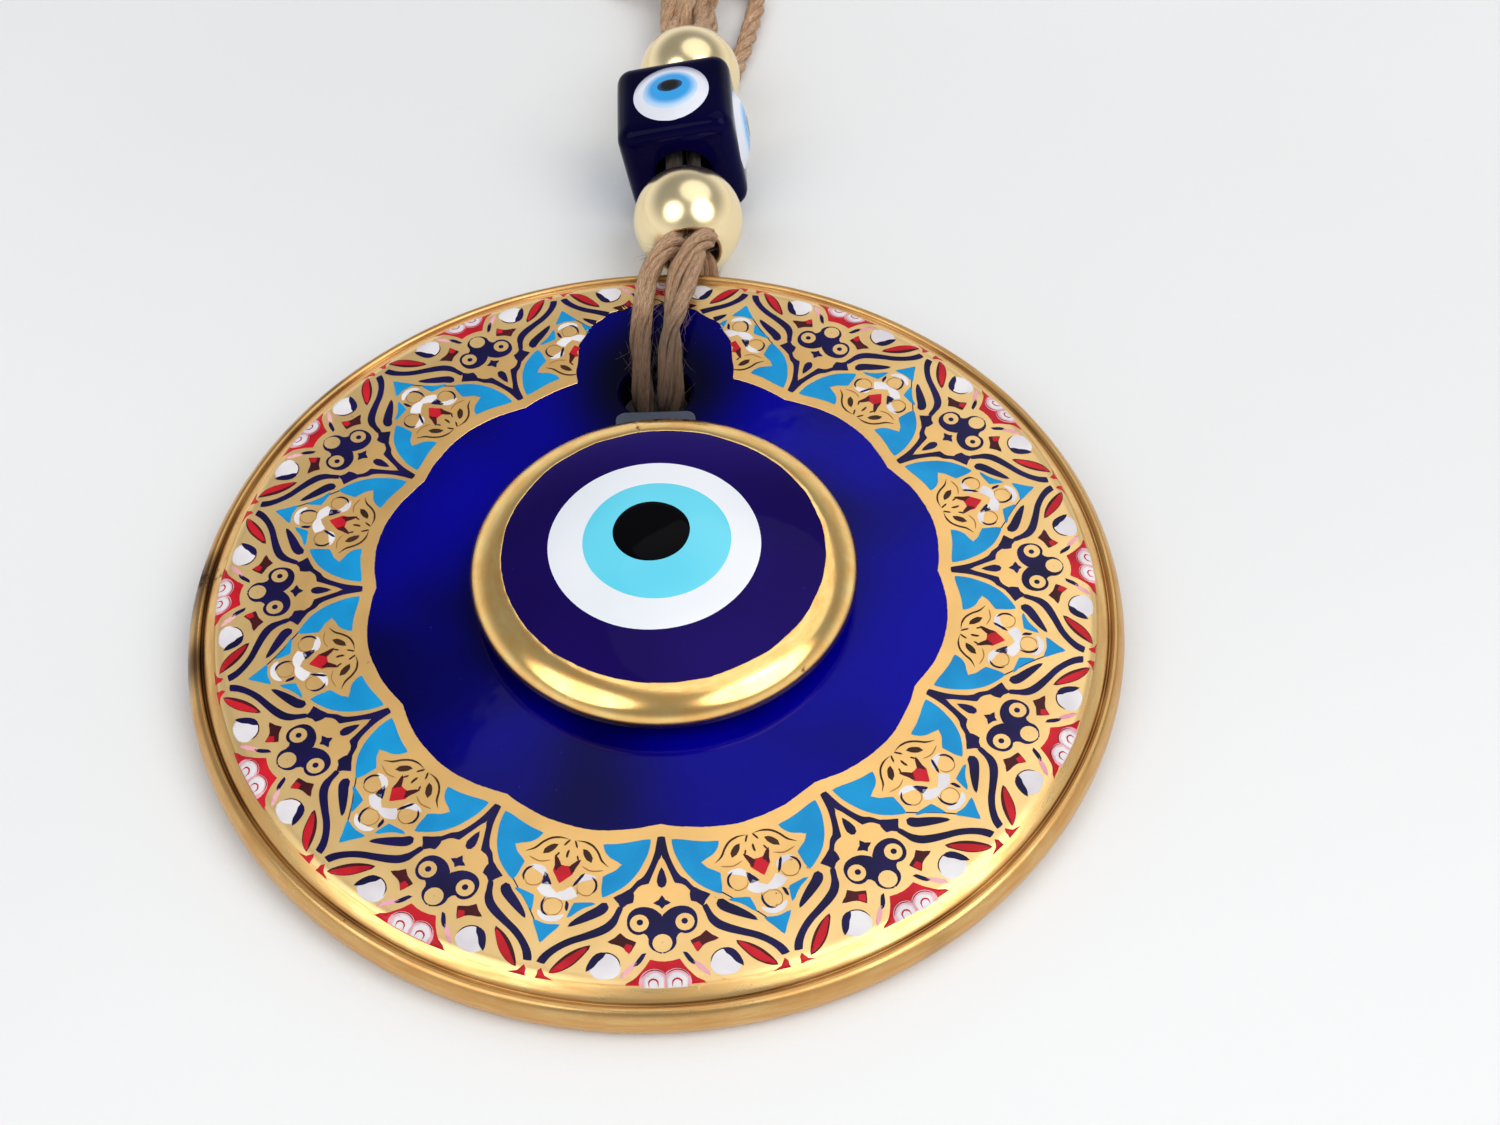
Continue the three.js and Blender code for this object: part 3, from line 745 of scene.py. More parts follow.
rimShapes = [
    ("printWhite", 0.085, True, [
        (5.5, 58.7), (5.65, 57.75), (6.25, 56.95), (7.1, 56.65), (8.0, 56.95), (8.6, 57.8), (8.85, 58.7),
        (8.2, 59.4), (7.0, 59.6), (6.0, 59.4)]),
    ("printNavy", 0.1, True, [
        (7.1, 56.45, "corner"), (8.05, 56.65), (8.75, 57.4), (9.3, 58.6, "corner"), (8.55, 58.1), (8.0, 57.4),
        (7.45, 56.95)]),
    ("printNavy", 0.085, True, [
        (2.35, 56.7, "corner"), (2.8, 57.15), (3.6, 58.3, "corner"), (2.95, 57.75)]),
    ("printPink", 0.085, True, [
        (3.45, 57.9, "corner"), (4.3, 58.55), (5.3, 59.7, "corner"), (4.3, 59.0)]),
    ("printRed", 0.08, True, [
        (0, 57.95, "corner"), (0.9, 57.9), (1.7, 57.65, "corner"), (2.2, 58.5), (2.95, 59.4), (3.7, 60.1),
        (5.2, 60.7, "corner"), (3.4, 60.88, "corner"), (1.7, 60.97, "corner"), (0, 61.0, "corner")]),
    ("printPink", 0.1, True, [
        (0, 59.65, "corner"), (0.5, 59.2), (1.3, 58.95), (2.2, 59.2), (2.85, 59.9), (3.05, 60.9, "corner"),
        (1.5, 60.96, "corner"), (0, 60.99, "corner")]),
    ("printWhite", 0.115, True, [
        (0.2, 60.97, "corner"), (0.3, 60.1), (0.75, 59.55), (1.45, 59.4), (2.1, 59.65), (2.5, 60.2),
        (2.55, 60.9, "corner"), (1.4, 60.96, "corner")]),
]

petalShapes = [
    ("printTurquoise", 0.085, True, [
        (9.35, 40.35, "corner"), (9.45, 42.0), (9.25, 43.5), (8.85, 45.1), (8.05, 46.75), (7.0, 48.0),
        (5.75, 49.1, "corner"), (5.45, 48.2), (5.3, 47.3), (5.15, 46.6, "corner"), (5.75, 46.05),
        (6.45, 45.45), (7.05, 44.35, "corner"), (6.2, 43.95), (5.2, 43.6), (4.5, 43.0),
        (4.05, 42.25, "corner"), (5.4, 41.95), (7.0, 41.35), (8.3, 40.75)]),
    ("printTurquoise", 0.085, True, [
        (2.35, 52.7, "corner"), (3.15, 51.65), (3.95, 50.9), (4.95, 50.3, "corner"), (3.9, 50.55),
        (2.65, 50.85, "corner"), (2.5, 51.7)]),
    ("printTurquoise", 0.085, False, [
        (0, 56.5, "corner"), (0.55, 55.5), (1.55, 54.0, "corner"), (0.8, 54.2), (0, 54.3), (-0.8, 54.2),
        (-1.55, 54.0, "corner"), (-0.55, 55.5)]),
    ("printNavy", 0.085, True, [
        (2.75, 53.85, "corner"), (4.2, 52.95), (5.6, 51.95), (6.45, 51.15), (6.65, 50.45), (6.35, 50.05),
        (5.95, 50.15), (5.4, 50.85), (4.5, 51.7), (3.4, 52.9)]),
    ("printNavy", 0.085, True, [
        (0.45, 59.05, "corner"), (1.2, 59.1, "corner"), (1.55, 58.2), (2.4, 57.05), (3.7, 55.95),
        (5.2, 55.05), (6.6, 54.2), (7.6, 53.35), (8.15, 52.35), (8.25, 51.3), (8.4, 50.3, "corner"),
        (8.0, 50.2, "corner"), (7.8, 51.4), (7.45, 52.2), (7.0, 52.85), (6.1, 53.65), (4.7, 54.65),
        (3.1, 55.7), (1.8, 56.9), (0.85, 58.1)]),
    ("printMaroon", 0.085, True, [
        (2.15, 60.1, "corner"), (3.3, 59.6), (4.4, 58.6), (5.2, 57.3), (5.85, 55.9, "corner"), (4.6, 56.65),
        (3.5, 57.7), (2.7, 58.9)]),
    ("printRed", 0.1, True, [
        (2.3, 60.0, "corner"), (3.3, 59.45), (4.35, 58.45), (5.1, 57.2), (5.6, 56.2, "corner"), (4.7, 57.0),
        (3.8, 58.0), (3.0, 59.1)]),
    ("printRed", 0.085, True, [
        (1.0, 59.9, "corner"), (1.35, 60.4), (2.9, 60.85, "corner"), (1.6, 60.9, "corner"),
        (0.6, 60.95, "corner")]),
    ("printWhite", 0.085, True, [
        (0, 50.35, "corner"), (1.3, 50.45), (2.4, 49.75, "corner"), (1.9, 49.1), (1.5, 48.8, "corner"),
        (0.8, 49.55), (0, 49.95, "corner")]),
    ("printWhite", 0.085, True, [
        (2.0, 48.0, "corner"), (2.15, 47.25), (2.9, 46.75), (4.1, 46.85, "corner"), (3.3, 47.2),
        (2.5, 47.55)]),
    ("printWhite", 0.085, True, [
        (0, 53.65, "corner"), (0.9, 53.4), (1.6, 52.6, "corner"), (0.9, 53.0), (0, 53.2, "corner")]),
    ("printRed", 0.085, True, [
        (0, 48.35, "corner"), (0.55, 47.6), (1.1, 46.95, "corner"), (1.1, 46.35), (0.6, 46.15),
        (0, 46.2, "corner")]),
    ("printMaroon", 0.095, True, [
        (1.1, 46.95, "corner"), (1.12, 46.3), (1.55, 45.0, "corner"), (0.8, 45.95), (0.62, 46.2, "corner"),
        (0.9, 46.45)]),
    ("printBrown", 0.085, True, [
        (3.05, 44.85, "corner"), (2.95, 44.4), (2.4, 43.75), (1.75, 43.4, "corner"), (1.95, 43.95),
        (2.5, 44.6)]),
    ("printNavy", 0.085, "right", [
        (1.0, 48.85, "corner"), (1.95, 48.95, "corner"), (2.0, 47.5, "corner"), (1.6, 48.1)]),
]

# drawn lines: colour, lift, mirrored, width, points
petalLines = [
    ("printNavy", 0.088, "right", 0.30, [(0.1, 53.1), (0.8, 52.75), (1.2, 52.0), (1.25, 51.3), (1.1, 50.7)]),
    ("printNavy", 0.088, "left", 0.42, [(1.95, 52.0), (1.8, 51.5), (1.75, 51.1), (1.5, 50.7)]),
    ("printNavy", 0.088, True, 0.28, [(4.3, 49.1), (4.6, 48.4), (4.4, 47.5), (3.7, 46.9)]),
    ("printNavy", 0.088, "left", 0.38, [(1.75, 48.65), (2.1, 47.9), (2.4, 47.2), (2.7, 46.6)]),
    ("printBrown", 0.088, True, 0.26, [(5.3, 45.1), (4.3, 44.45), (3.55, 43.45), (2.7, 42.7), (1.6, 42.35),
                                       (0.5, 42.4)]),
    ("printBrown", 0.088, False, 0.30, [(0.05, 45.0), (0.12, 44.4), (0.05, 43.8)]),
    ("printBrown", 0.088, True, 0.24, [(0.85, 43.4), (0.6, 42.9), (0.3, 42.4)]),
    ("printBrown", 0.088, True, 0.22, [(1.5, 45.1), (1.3, 44.75), (1.15, 44.4)]),
    ("printTan", 0.086, True, 0.17, [(2.0, 45.7), (3.3, 46.1), (4.8, 45.7)]),
    ("printTan", 0.086, True, 0.13, [(4.45, 48.6), (4.0, 49.35), (3.2, 49.5), (2.4, 49.1), (2.15, 48.3)]),
    ("printTan", 0.086, True, 0.12, [(0, 50.6), (-0.9, 50.9), (-1.2, 51.7), (-0.85, 52.6), (0, 52.9)]),
    ("printNavy", 0.084, "right", 0.15, [(0.05, 56.5), (0.65, 55.3), (1.5, 54.0), (3.1, 51.95), (4.4, 50.6),
                                         (5.75, 49.1), (7.1, 47.85), (8.1, 46.6)]),
]
archLines = [("printNavy", 0.104, False, 0.30, [(-0.08, 55.35), (0.1, 55.45)])]
rimLines = [
    ("printMaroon", 0.09, True, 0.16, [(5.35, 58.3), (5.6, 57.4), (6.2, 56.75), (7.1, 56.42), (7.9, 56.6)]),
    ("printRed", 0.125, True, 0.20, [(0.85, 60.9), (0.9, 60.3), (1.4, 60.0), (1.95, 60.3), (1.9, 60.9)]),
    ("printMaroon", 0.112, True, 0.12, [(0, 59.62), (0.5, 59.17), (1.3, 58.92), (2.2, 59.17), (2.9, 59.9)]),
]


def circleOutline(x, y, radius):
    return [(x + radius * math.cos(math.radians(a)), y + radius * math.sin(math.radians(a)))
            for a in range(0, 360, 45)]


archShapes.append(("printGold", 0.1, True, circleOutline(2.75, 52.72, 1.16)))
archShapes.append(("printGold", 0.1, False, circleOutline(0, 55.45, 1.2)))
archShapes.append(("printNavy", 0.115, True, circleOutline(2.7, 52.65, 0.24)))


def strokeOutline(points, width):
    # both sides of a drawn line, narrowing to a point at each end
    line = smoothLine(points, 0.25)
    left, right = [], []
    for i, spot in enumerate(line):
        along = (line[min(i + 1, len(line) - 1)] - line[max(i - 1, 0)]).normalized()
        side = Vector((-along.y, along.x))
        t = i / (len(line) - 1)
        half = width / 2 * max(0.12, min(1, 4.5 * min(t, 1 - t)))
        left.append(spot + side * half)
        right.append(spot - side * half)
    return left + right[::-1]


def fillOutline(outline):
    # triangles inside one outline, with extra points where it crosses on to the sloping rim
    base = len(outline)
    spots = [Vector(p[:2]) for p in outline]
    if max(p.y for p in spots) > 58.5:
        lowX, highX = min(p.x for p in spots), max(p.x for p in spots)
        lowY, highY = min(p.y for p in spots), max(p.y for p in spots)
        x = lowX + 0.3
        while x < highX:
            y = max(lowY + 0.3, 58.6)
            while y < highY:
                spots.append(Vector((x, y)))
                y += 0.45
            x += 0.45
    loop = [(i, (i + 1) % base) for i in range(base)]
    filled = delaunay_2d_cdt(spots, loop, [list(range(base))], 1, 1e-4)
    return [tuple(spot) for spot in filled[0]], [tuple(face) for face in filled[2]]


def spreadOutline(outline, amount, keepAxis):
    # every point moves outwards, except where the outline meets its mirror image or the rim
    count = len(outline)
    area = sum(outline[i].x * outline[(i + 1) % count].y - outline[(i + 1) % count].x * outline[i].y
               for i in range(count))
    turn = 1 if area > 0 else -1
    moved = []
    for i, spot in enumerate(outline):
        along = (outline[(i + 1) % count] - outline[i - 1]).normalized()
        shift = Vector((along.y, -along.x)) * turn * amount
        if spot.y > 60.5:
            shift = Vector((0, 0))
        if keepAxis and abs(spot.x) < 0.001:
            shift.x = 0
        fresh = spot + shift
        if keepAxis:
            fresh.x = max(0, fresh.x)
        moved.append(fresh)
    return moved


def preparedShapes(shapes, lines):
    ready = []
    for colour, lift, mirrored, outline in shapes:
        line = smoothLine(outline, borderSettings["grain"], True)
        amount = 0 if colour == "printGold" else borderSettings["spread"]
        touchesAxis = mirrored is True and min(p.x for p in line) < 0.001
        ready.append((colour, lift, mirrored, spreadOutline(line, amount, touchesAxis)))
    for colour, lift, mirrored, width, points in lines:
        ready.append((colour, lift, mirrored, strokeOutline(points, width)))
    return [(colour, lift, mirrored, fillOutline(outline)) for colour, lift, mirrored, outline in ready]


borderWork = {}
borderRandom = random.Random(12)


def stampShape(colour, lift, sides, shape, turn, nudge):
    work = borderWork.setdefault(colour, bmesh.new())
    spots, faces = shape
    cosine, sine = math.cos(turn), math.sin(turn)
    for side in sides:
        made = []
        for x, y in spots:
            x, y = side * x + nudge.x, y + nudge.y
            across, out = x * cosine + y * sine, -x * sine + y * cosine
            made.append(work.verts.new((across, out, faceHeight(math.hypot(across, out)) + lift)))
        for face in faces:
            middle = sum((made[i].co for i in face), Vector()) / len(face)
            if not inKeyhole(middle.x, middle.y):
                work.faces.new([made[i] for i in face])


sidesOf = {True: (1, -1), False: (1,), "right": (1,), "left": (-1,)}
archReady = preparedShapes(archShapes, archLines)
rimReady = preparedShapes(rimShapes, rimLines)
petalReady = preparedShapes(petalShapes, petalLines)
for repeat in range(borderSettings["repeats"]):
    archTurn = math.radians(30 * repeat)
    jitter = math.radians(borderRandom.uniform(-1, 1) * borderSettings["rimJitter"])
    # each colour was screened on by itself, so it sits a hair off
    nudges = {name: Vector((borderRandom.uniform(-0.07, 0.07), borderRandom.uniform(-0.06, 0.06)))
              for name in [*enamelSettings, "printGold"]}
    for group, turn in ((archReady, archTurn), (rimReady, archTurn + jitter),
                        (petalReady, archTurn + math.radians(15))):
        for colour, lift, mirrored, shape in group:
            stampShape(colour, lift, sidesOf[mirrored], shape, turn, nudges[colour])


def printEdge(degrees):
    turn = math.radians(degrees)
    scallop = borderSettings["scallop"] * abs(math.sin(6 * turn))
    rough = 0.10 * noise.noise((14 * math.cos(turn), 14 * math.sin(turn), 1)) \
        + 0.05 * noise.noise((70 * math.cos(turn), 70 * math.sin(turn), 2))
    inner = borderSettings["innerEdge"] + scallop + rough
    tear = 0.35 * noise.noise((40 * math.cos(turn), 40 * math.sin(turn), 4))
    return max(inner, keyholeRadius(degrees) + (tear if abs(degrees) < 17 else 0))


def groundBmesh():
    work = bmesh.new()
    columns, closeRows = borderSettings["columns"], borderSettings["closeRows"]
    grid = []
    for i in range(columns):
        degrees = -180 + 360 * i / columns
        turn = math.radians(degrees)
        inner = printEdge(degrees)
        ragged = borderSettings["outerEdge"] + 0.14 * noise.noise((9 * math.cos(turn), 9 * math.sin(turn), 7))
        column = []
        reach = [inner, inner + 0.02] + [inner + (closeRows - inner) * k / 6 for k in range(1, 7)]
        reach += [closeRows + (ragged - closeRows) * k / 8 for k in range(1, 9)]
        for k, radius in enumerate(reach):
            height = faceHeight(radius) + borderSettings["groundLift"]
            if k == 0:  # the inner edge runs down into the glass
                height = discSettings["faceZ"] - 0.01
                radius -= 0.03
            column.append(work.verts.new((radius * math.sin(turn), radius * math.cos(turn), height)))
        grid.append(column)
    for i in range(columns):
        j = (i + 1) % columns
        for k in range(len(grid[i]) - 1):
            work.faces.new((grid[i][k], grid[i][k + 1], grid[j][k + 1], grid[j][k]))
    return work


ground = makePiece("borderGoldGround", groundBmesh(), "printGold", lean)
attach(ground, "disc")
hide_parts("border_print")
for colour, work in borderWork.items():
    bmesh.ops.delete(work, geom=[v for v in work.verts if not v.link_faces], context="VERTS")
    addSkirt(work, 0.06)
    layer = makePiece("border" + colour[5:] + "Layer", work, colour, lean)
    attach(layer, "disc")
report("printed border made")


# clear pad under the eye bead

padSettings = {
    "halfWidth": 5.95,
    "nearY": -18.0,
    "farY": 30.8,
    "thickness": 1.55,
    "corner": 1.5,
    "softEdge": 0.35,
}


def padBmesh():
    half, corner = padSettings["halfWidth"], padSettings["corner"]
    near, far = padSettings["nearY"], padSettings["farY"]
    outline = []
    for x, y, first in ((half - corner, far - corner, 0), (-half + corner, far - corner, 90),
                        (-half + corner, near + corner, 180), (half - corner, near + corner, 270)):
        for step in range(7):
            turn = math.radians(first + 15 * step)
            outline.append((x + corner * math.cos(turn), y + corner * math.sin(turn)))
    work = bmesh.new()
    low = discSettings["faceZ"] + 0.03
    high, soft = low + padSettings["thickness"], padSettings["softEdge"]
    rings = []
    for inset, height in ((0, low), (0, high - soft), (0.1, high - 0.1), (soft, high)):
        ring = []
        for x, y in outline:
            wave = 0.12 * noise.noise((x * 0.6, y * 0.6, 3))
            keep = 1 - (inset - wave) / math.hypot(x, y)
            ring.append(work.verts.new((x * keep, y * keep, height)))
        rings.append(ring)
    joinRings(work, rings)
    work.faces.new(rings[-1])
    work.faces.new(rings[0][::-1])
    return work


pad = makePiece("stickyPad", padBmesh(), "padPlastic", lean)
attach(pad, "disc")
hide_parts("mounting_pad")


# domed eye bead with its gilt edge and three fused drops

eyeSettings = {
    "centreX": 1.0,
    "bandTop": 22.25,
    "bandTopZ": 12.45,
    "crownZ": 15.4,
    # name, finish, slot, radius, centre from the bead's own centre, how far it stands up, node
    "drops": [
        ("eyeWhiteDrop", "whiteGlass", "white_glass", 14.65, (-1.15, -0.2), 0.16, "eye_white"),
        ("eyeSkyDrop", "skyGlass", "sky_glass", 10.7, (-0.80, -0.15), 0.30, "eye_iris"),
        ("eyePupilDrop", "blackGlass", "black_glass", 5.75, (-1.55, 0.9), 0.44, "eye_pupil"),
    ],
}
eyePlace = lean @ Matrix.Translation((eyeSettings["centreX"] * mm, 0, 0))


def domeHeight(radius):
    fall = eyeSettings["crownZ"] - eyeSettings["bandTopZ"]
    return eyeSettings["crownZ"] - fall * (radius / eyeSettings["bandTop"]) ** 2


def eyeWave(angle, radius, height):
    return 0.10 * noise.noise((1.5 * math.cos(angle), 1.5 * math.sin(angle), 5 + height * 0.1)), 0


domeProfile = [(0, 8.2), (24.0, 8.2), (25.6, 8.6), (26.3, 9.4), (26.1, 10.3), (25.0, 11.3), (23.4, 12.0),
               (22.6, domeHeight(22.6) - 0.04)]
domeProfile += [(22.0 - i, domeHeight(22.0 - i)) for i in range(0, 22, 2)] + [(0, eyeSettings["crownZ"])]
eyeDome = makePiece("eyeNavyDome", latheBmesh(domeProfile, 160), "navyGlass", eyePlace)
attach(eyeDome, "disc")
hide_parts("eye_body")

bandProfile = [(23.9, 8.06), (25.2, 8.04), (26.1, 8.18), (26.6, 8.55), (26.8, 9.05), (26.78, 9.6),
               (26.55, 10.2), (26.1, 10.8), (25.45, 11.35), (24.6, 11.82), (23.7, 12.17), (22.9, 12.42),
               (22.35, 12.52), (22.12, 12.50)]


def bandWave(angle, radius, height):
    # brushed on by hand, so its inner edge wanders
    dr, dz = eyeWave(angle, radius, height)
    if radius < 23:
        wander = 0.22 * noise.noise((5 * math.cos(angle), 5 * math.sin(angle), 2)) \
            + 0.07 * noise.noise((22 * math.cos(angle), 22 * math.sin(angle), 6))
        return wander, domeHeight(radius + wander) - domeHeight(radius)
    return dr, 0


band = makePiece("eyeGiltBand", latheBmesh(bandProfile, 256, bandWave), "bandLuster", eyePlace)
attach(band, "disc")
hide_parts("eye_gilt_band")


def fusedDropBmesh(turns, reaches, pointAt, skirt):
    # rings of points from the middle of a drop out to its rim, and a wall down into the glass
    work = bmesh.new()
    rings = []
    for t in reaches:
        angles = [2 * math.pi * i / turns for i in range(turns if t else 1)]
        rings.append([work.verts.new(pointAt(t, angle)) for angle in angles])
    joinRings(work, rings)
    addSkirt(work, skirt)
    return work


def dropBmesh(radius, centre, rise, seed):
    # a flattened drop whose rim melts into the glass under it
    def pointAt(t, angle):
        wave = 1 + 0.012 * noise.noise((math.cos(angle) * 1.3, math.sin(angle) * 1.3, seed))
        x = centre[0] + radius * wave * t * math.cos(angle)
        y = centre[1] + radius * wave * t * math.sin(angle)
        return x, y, domeHeight(math.hypot(x, y)) + rise * (1 - t ** 14) - 0.03 * t ** 14
    return fusedDropBmesh(128, (0.0, 0.2, 0.4, 0.6, 0.75, 0.86, 0.93, 0.97, 0.99, 1.0), pointAt, 0.35)


for seed, (name, finish, slotName, radius, centre, rise, node) in enumerate(eyeSettings["drops"]):
    drop = makePiece(name, dropBmesh(radius, centre, rise, seed), finish, eyePlace)
    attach(drop, "disc")
    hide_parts(node)
report("eye bead made")


# round gold beads

goldBeadSettings = {
    "radius": 9.2,
    "bore": 5.0,
    "lip": 0.55,
    # name, centre, pitch, yaw, body, node
    "beads": [
        ("lowerGoldBead", (5.8, 77.9, 6.98), 5, 0, "lower_bead", "lower_gold_bead"),
        ("upperGoldBead", (6.9, 119.5, 7.4), -12, -4, "upper_bead", "upper_gold_bead"),
    ],
}


def goldBeadBmesh():
    radius, bore, lip = (goldBeadSettings[key] for key in ("radius", "bore", "lip"))
    edge = math.sqrt(radius ** 2 - (bore + lip) ** 2)
    tip = math.asin(edge / radius)
    outside = [(radius * math.cos(tip * i / 24), radius * math.sin(tip * i / 24)) for i in range(25)]
    roll = [(bore + lip * (1 - math.sin(a)), edge + lip * (0.35 * math.cos(a) - 0.1))
            for a in (math.radians(degrees) for degrees in (15, 35, 55, 75, 90))]
    inside = [(bore, height) for height in (edge - 1.2, edge / 2, 0)]
    half = outside + roll + inside
    work = latheBmesh(half + [(r, -height) for r, height in half[-2::-1]], 128)
    bmesh.ops.remove_doubles(work, verts=work.verts, dist=1e-4)
    return work


for name, centre, pitch, yaw, body, node in goldBeadSettings["beads"]:
    turn = Matrix.Rotation(math.radians(yaw), 4, "Z") @ Matrix.Rotation(math.radians(pitch), 4, "X")
    stand = Matrix.Rotation(math.radians(-90), 4, "X")
    place = Matrix.Translation([v * mm for v in centre]) @ turn @ stand
    bead = makePiece(name, goldBeadBmesh(), "beadGold", place)
    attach(bead, body)
    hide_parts(node)


# glass cube with an eye on four of its sides

cubeSettings = {
    "side": 19.6,
    "rounding": 2.6,
    "bulge": 0.30,
    "domes": {"top": 1.05, "right": 1.55, "under": 0.90, "left": 0.30},  # how far the eyes stand out
    "centre": (5.26, 98.8, 8.8),
    "pitch": 3.3,
    "roll": -9.8,
    "yaw": 0.4,
    "bore": 4.9,
    # name, finish, half width, half length, offset along the bore, lift
    "drops": [("White", "cubeWhite", 6.6, 7.2, -0.3, 0.04), ("Blue", "cubeBlue", 4.9, 5.0, -0.3, 0.10),
              ("Black", "cubeBlack", 2.4, 1.75, 0.35, 0.16)],
}


def softRingFinish(name, inner, outer, centreY, start, stop):
    # the drops bleed into each other towards the far side, so their colours run together there
    material, tree, shader, place = newMaterial(name, **{"Roughness": 0.07, "IOR": 1.5})
    deep = tuple(0.9 * c for c in inner)
    clouds = useGroup(tree, glassClouds, place, Scale=90.0, Deep=(*deep, 1), Bright=(*inner, 1))
    split = addNode(tree, "ShaderNodeSeparateXYZ")
    tree.links.new(place.outputs["Object"], split.inputs[0])
    flat = addNode(tree, "ShaderNodeCombineXYZ")
    tree.links.new(split.outputs[0], flat.inputs[0])
    tree.links.new(mathNode(tree, "SUBTRACT", split.outputs[1], centreY * mm), flat.inputs[1])
    reach = addNode(tree, "ShaderNodeVectorMath", operation="LENGTH")
    tree.links.new(flat.outputs[0], reach.inputs[0])
    fade = mapRange(tree, reach.outputs["Value"], start * mm, stop * mm, 0, 1, True)
    tree.links.new(mixColour(tree, fade, clouds.outputs["Colour"], outer), shader.inputs["Base Color"])
    tree.links.new(bumpNode(tree, clouds.outputs["Ripple"], 0.0001), shader.inputs["Normal"])
    finishes[name] = material


softRingFinish("cubeWhite", (0.80, 0.82, 0.92), (0.040, 0.060, 0.22), -2.6, 6.4, 9.6)
softRingFinish("cubeBlue", (0.035, 0.360, 0.830), (0.50, 0.70, 0.93), -0.1, 3.1, 4.9)
softRingFinish("cubeBlack", (0.0015, 0.0015, 0.003), (0.010, 0.10, 0.26), 0.45, 1.1, 2.5)


def cubeBmesh():
    half, rounding = cubeSettings["side"] / 2, cubeSettings["rounding"]
    work = bmesh.new()
    bmesh.ops.create_cube(work, size=2)
    bmesh.ops.subdivide_edges(work, edges=work.edges, cuts=23, use_grid_fill=True)
    flat = half - rounding
    for vert in work.verts:
        spot = vert.co * half
        core = Vector([max(-flat, min(flat, c)) for c in spot])
        if (spot - core).length > 1e-6:
            out = spot - core
            spot = core + out.normalized() * rounding
        swell = cubeSettings["bulge"] * (1 - (spot.x / half) ** 4) * (1 - (spot.y / half) ** 4) \
            if abs(spot.z) > flat else 0
        spot.z += swell if spot.z > 0 else -swell
        side = cubeSettings["bulge"] * (1 - (spot.z / half) ** 4) * (1 - (spot.y / half) ** 4) \
            if abs(spot.x) > flat else 0
        spot.x += side if spot.x > 0 else -side
        vert.co = spot
    return work


def boreCutter(bore, half, lip):
    profile = [(0, -half - 3), (bore + lip + 1, -half - 3), (bore + lip, -half)]
    for sign in (-1, 1):
        steps = range(0, 91, 15) if sign < 0 else range(90, -1, -15)
        for a in steps:
            turn = math.radians(a)
            profile.append((bore + lip * (1 - math.sin(turn)), sign * (half - lip * (1 - math.cos(turn)))))
    profile += [(bore + lip, half), (bore + lip + 1, half + 3), (0, half + 3)]
    return cutterMesh("boreCutter", profile, lambda spot: Vector((spot.x, spot.z, -spot.y)))


cubePlace = Matrix.Translation([v * mm for v in cubeSettings["centre"]]) \
    @ Matrix.Rotation(math.radians(cubeSettings["yaw"]), 4, "Z") \
    @ Matrix.Rotation(math.radians(cubeSettings["pitch"]), 4, "X") \
    @ Matrix.Rotation(math.radians(cubeSettings["roll"]), 4, "Y")
cube = makePiece("glassEyeCube", cubeBmesh(), "cubeNavyGlass", cubePlace)
cutWith(cube, boreCutter(cubeSettings["bore"], cubeSettings["side"] / 2, 0.5))
for polygon in cube.data.polygons:
    polygon.use_smooth = True
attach(cube, "cube")
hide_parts("cube_bead")


def cubeSurface(x, y):
    half = cubeSettings["side"] / 2
    flat = half - cubeSettings["rounding"]
    swell = cubeSettings["bulge"] * (1 - (x / half) ** 4) * (1 - (y / half) ** 4)
    past = math.hypot(max(0, abs(x) - flat), max(0, abs(y) - flat))
    if past > 0:
        rounding = cubeSettings["rounding"]
        return flat + math.sqrt(max(0, rounding ** 2 - past ** 2)) + swell
    return half + swell


def eyeDome(side, x, y):
    # the whole eye stands out of its side as a low dome
    white = cubeSettings["drops"][0]
    reach = math.hypot(x / white[2], (y - white[4]) / white[3])
    return cubeSettings["domes"][side] * max(0, 1 - reach ** 2.6)


def cubeDropBmesh(side, halfWidth, halfLength, along, lift, seed):
    edge = -0.02 if seed % 3 == 0 else 0.012  # the white sinks in, the others lie on it

    def pointAt(t, angle):
        wave = 1 + 0.03 * noise.noise((math.cos(angle), math.sin(angle), seed))
        x = halfWidth * wave * t * math.cos(angle)
        y = along + halfLength * wave * t * math.sin(angle)
        return x, y, cubeSurface(x, y) + eyeDome(side, x, y) + lift * (1 - t ** 10) + edge * t ** 10
    reaches = (0.0, 0.15, 0.3, 0.45, 0.6, 0.7, 0.8, 0.87, 0.92, 0.96, 0.99, 1.0)
    return fusedDropBmesh(72, reaches, pointAt, 0.3)


for quarter, side in enumerate(cubeSettings["domes"]):
    for level, (name, finish, halfWidth, halfLength, along, lift) in enumerate(cubeSettings["drops"]):
        place = cubePlace @ Matrix.Rotation(math.radians(90 * quarter), 4, "Y")
        slotName = ("white_glass", "blue_glass", "black_glass")[level]
        work = cubeDropBmesh(side, halfWidth, halfLength, along, lift, 3 * quarter + level)
        drop = makePiece("cubeEye" + side.capitalize() + name, work, finish, place)
        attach(drop, "cube")
        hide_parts(f"cube_eye_{side}_{name.lower()}")
report("beads and cube made")


# jute twine

twineSettings = {
    "step": 0.60,  # mm between sections
    "tows": 7,
    "combPitch": 46.0,  # how slowly the tows turn round their ply
    "sides": 9,
    "hairRadius": 0.035,
    "frayHairs": 70,  # at a cut end
    "squash": 0.10,  # how uneven a ply is
    "lowest": tableZ + 0.06,
}


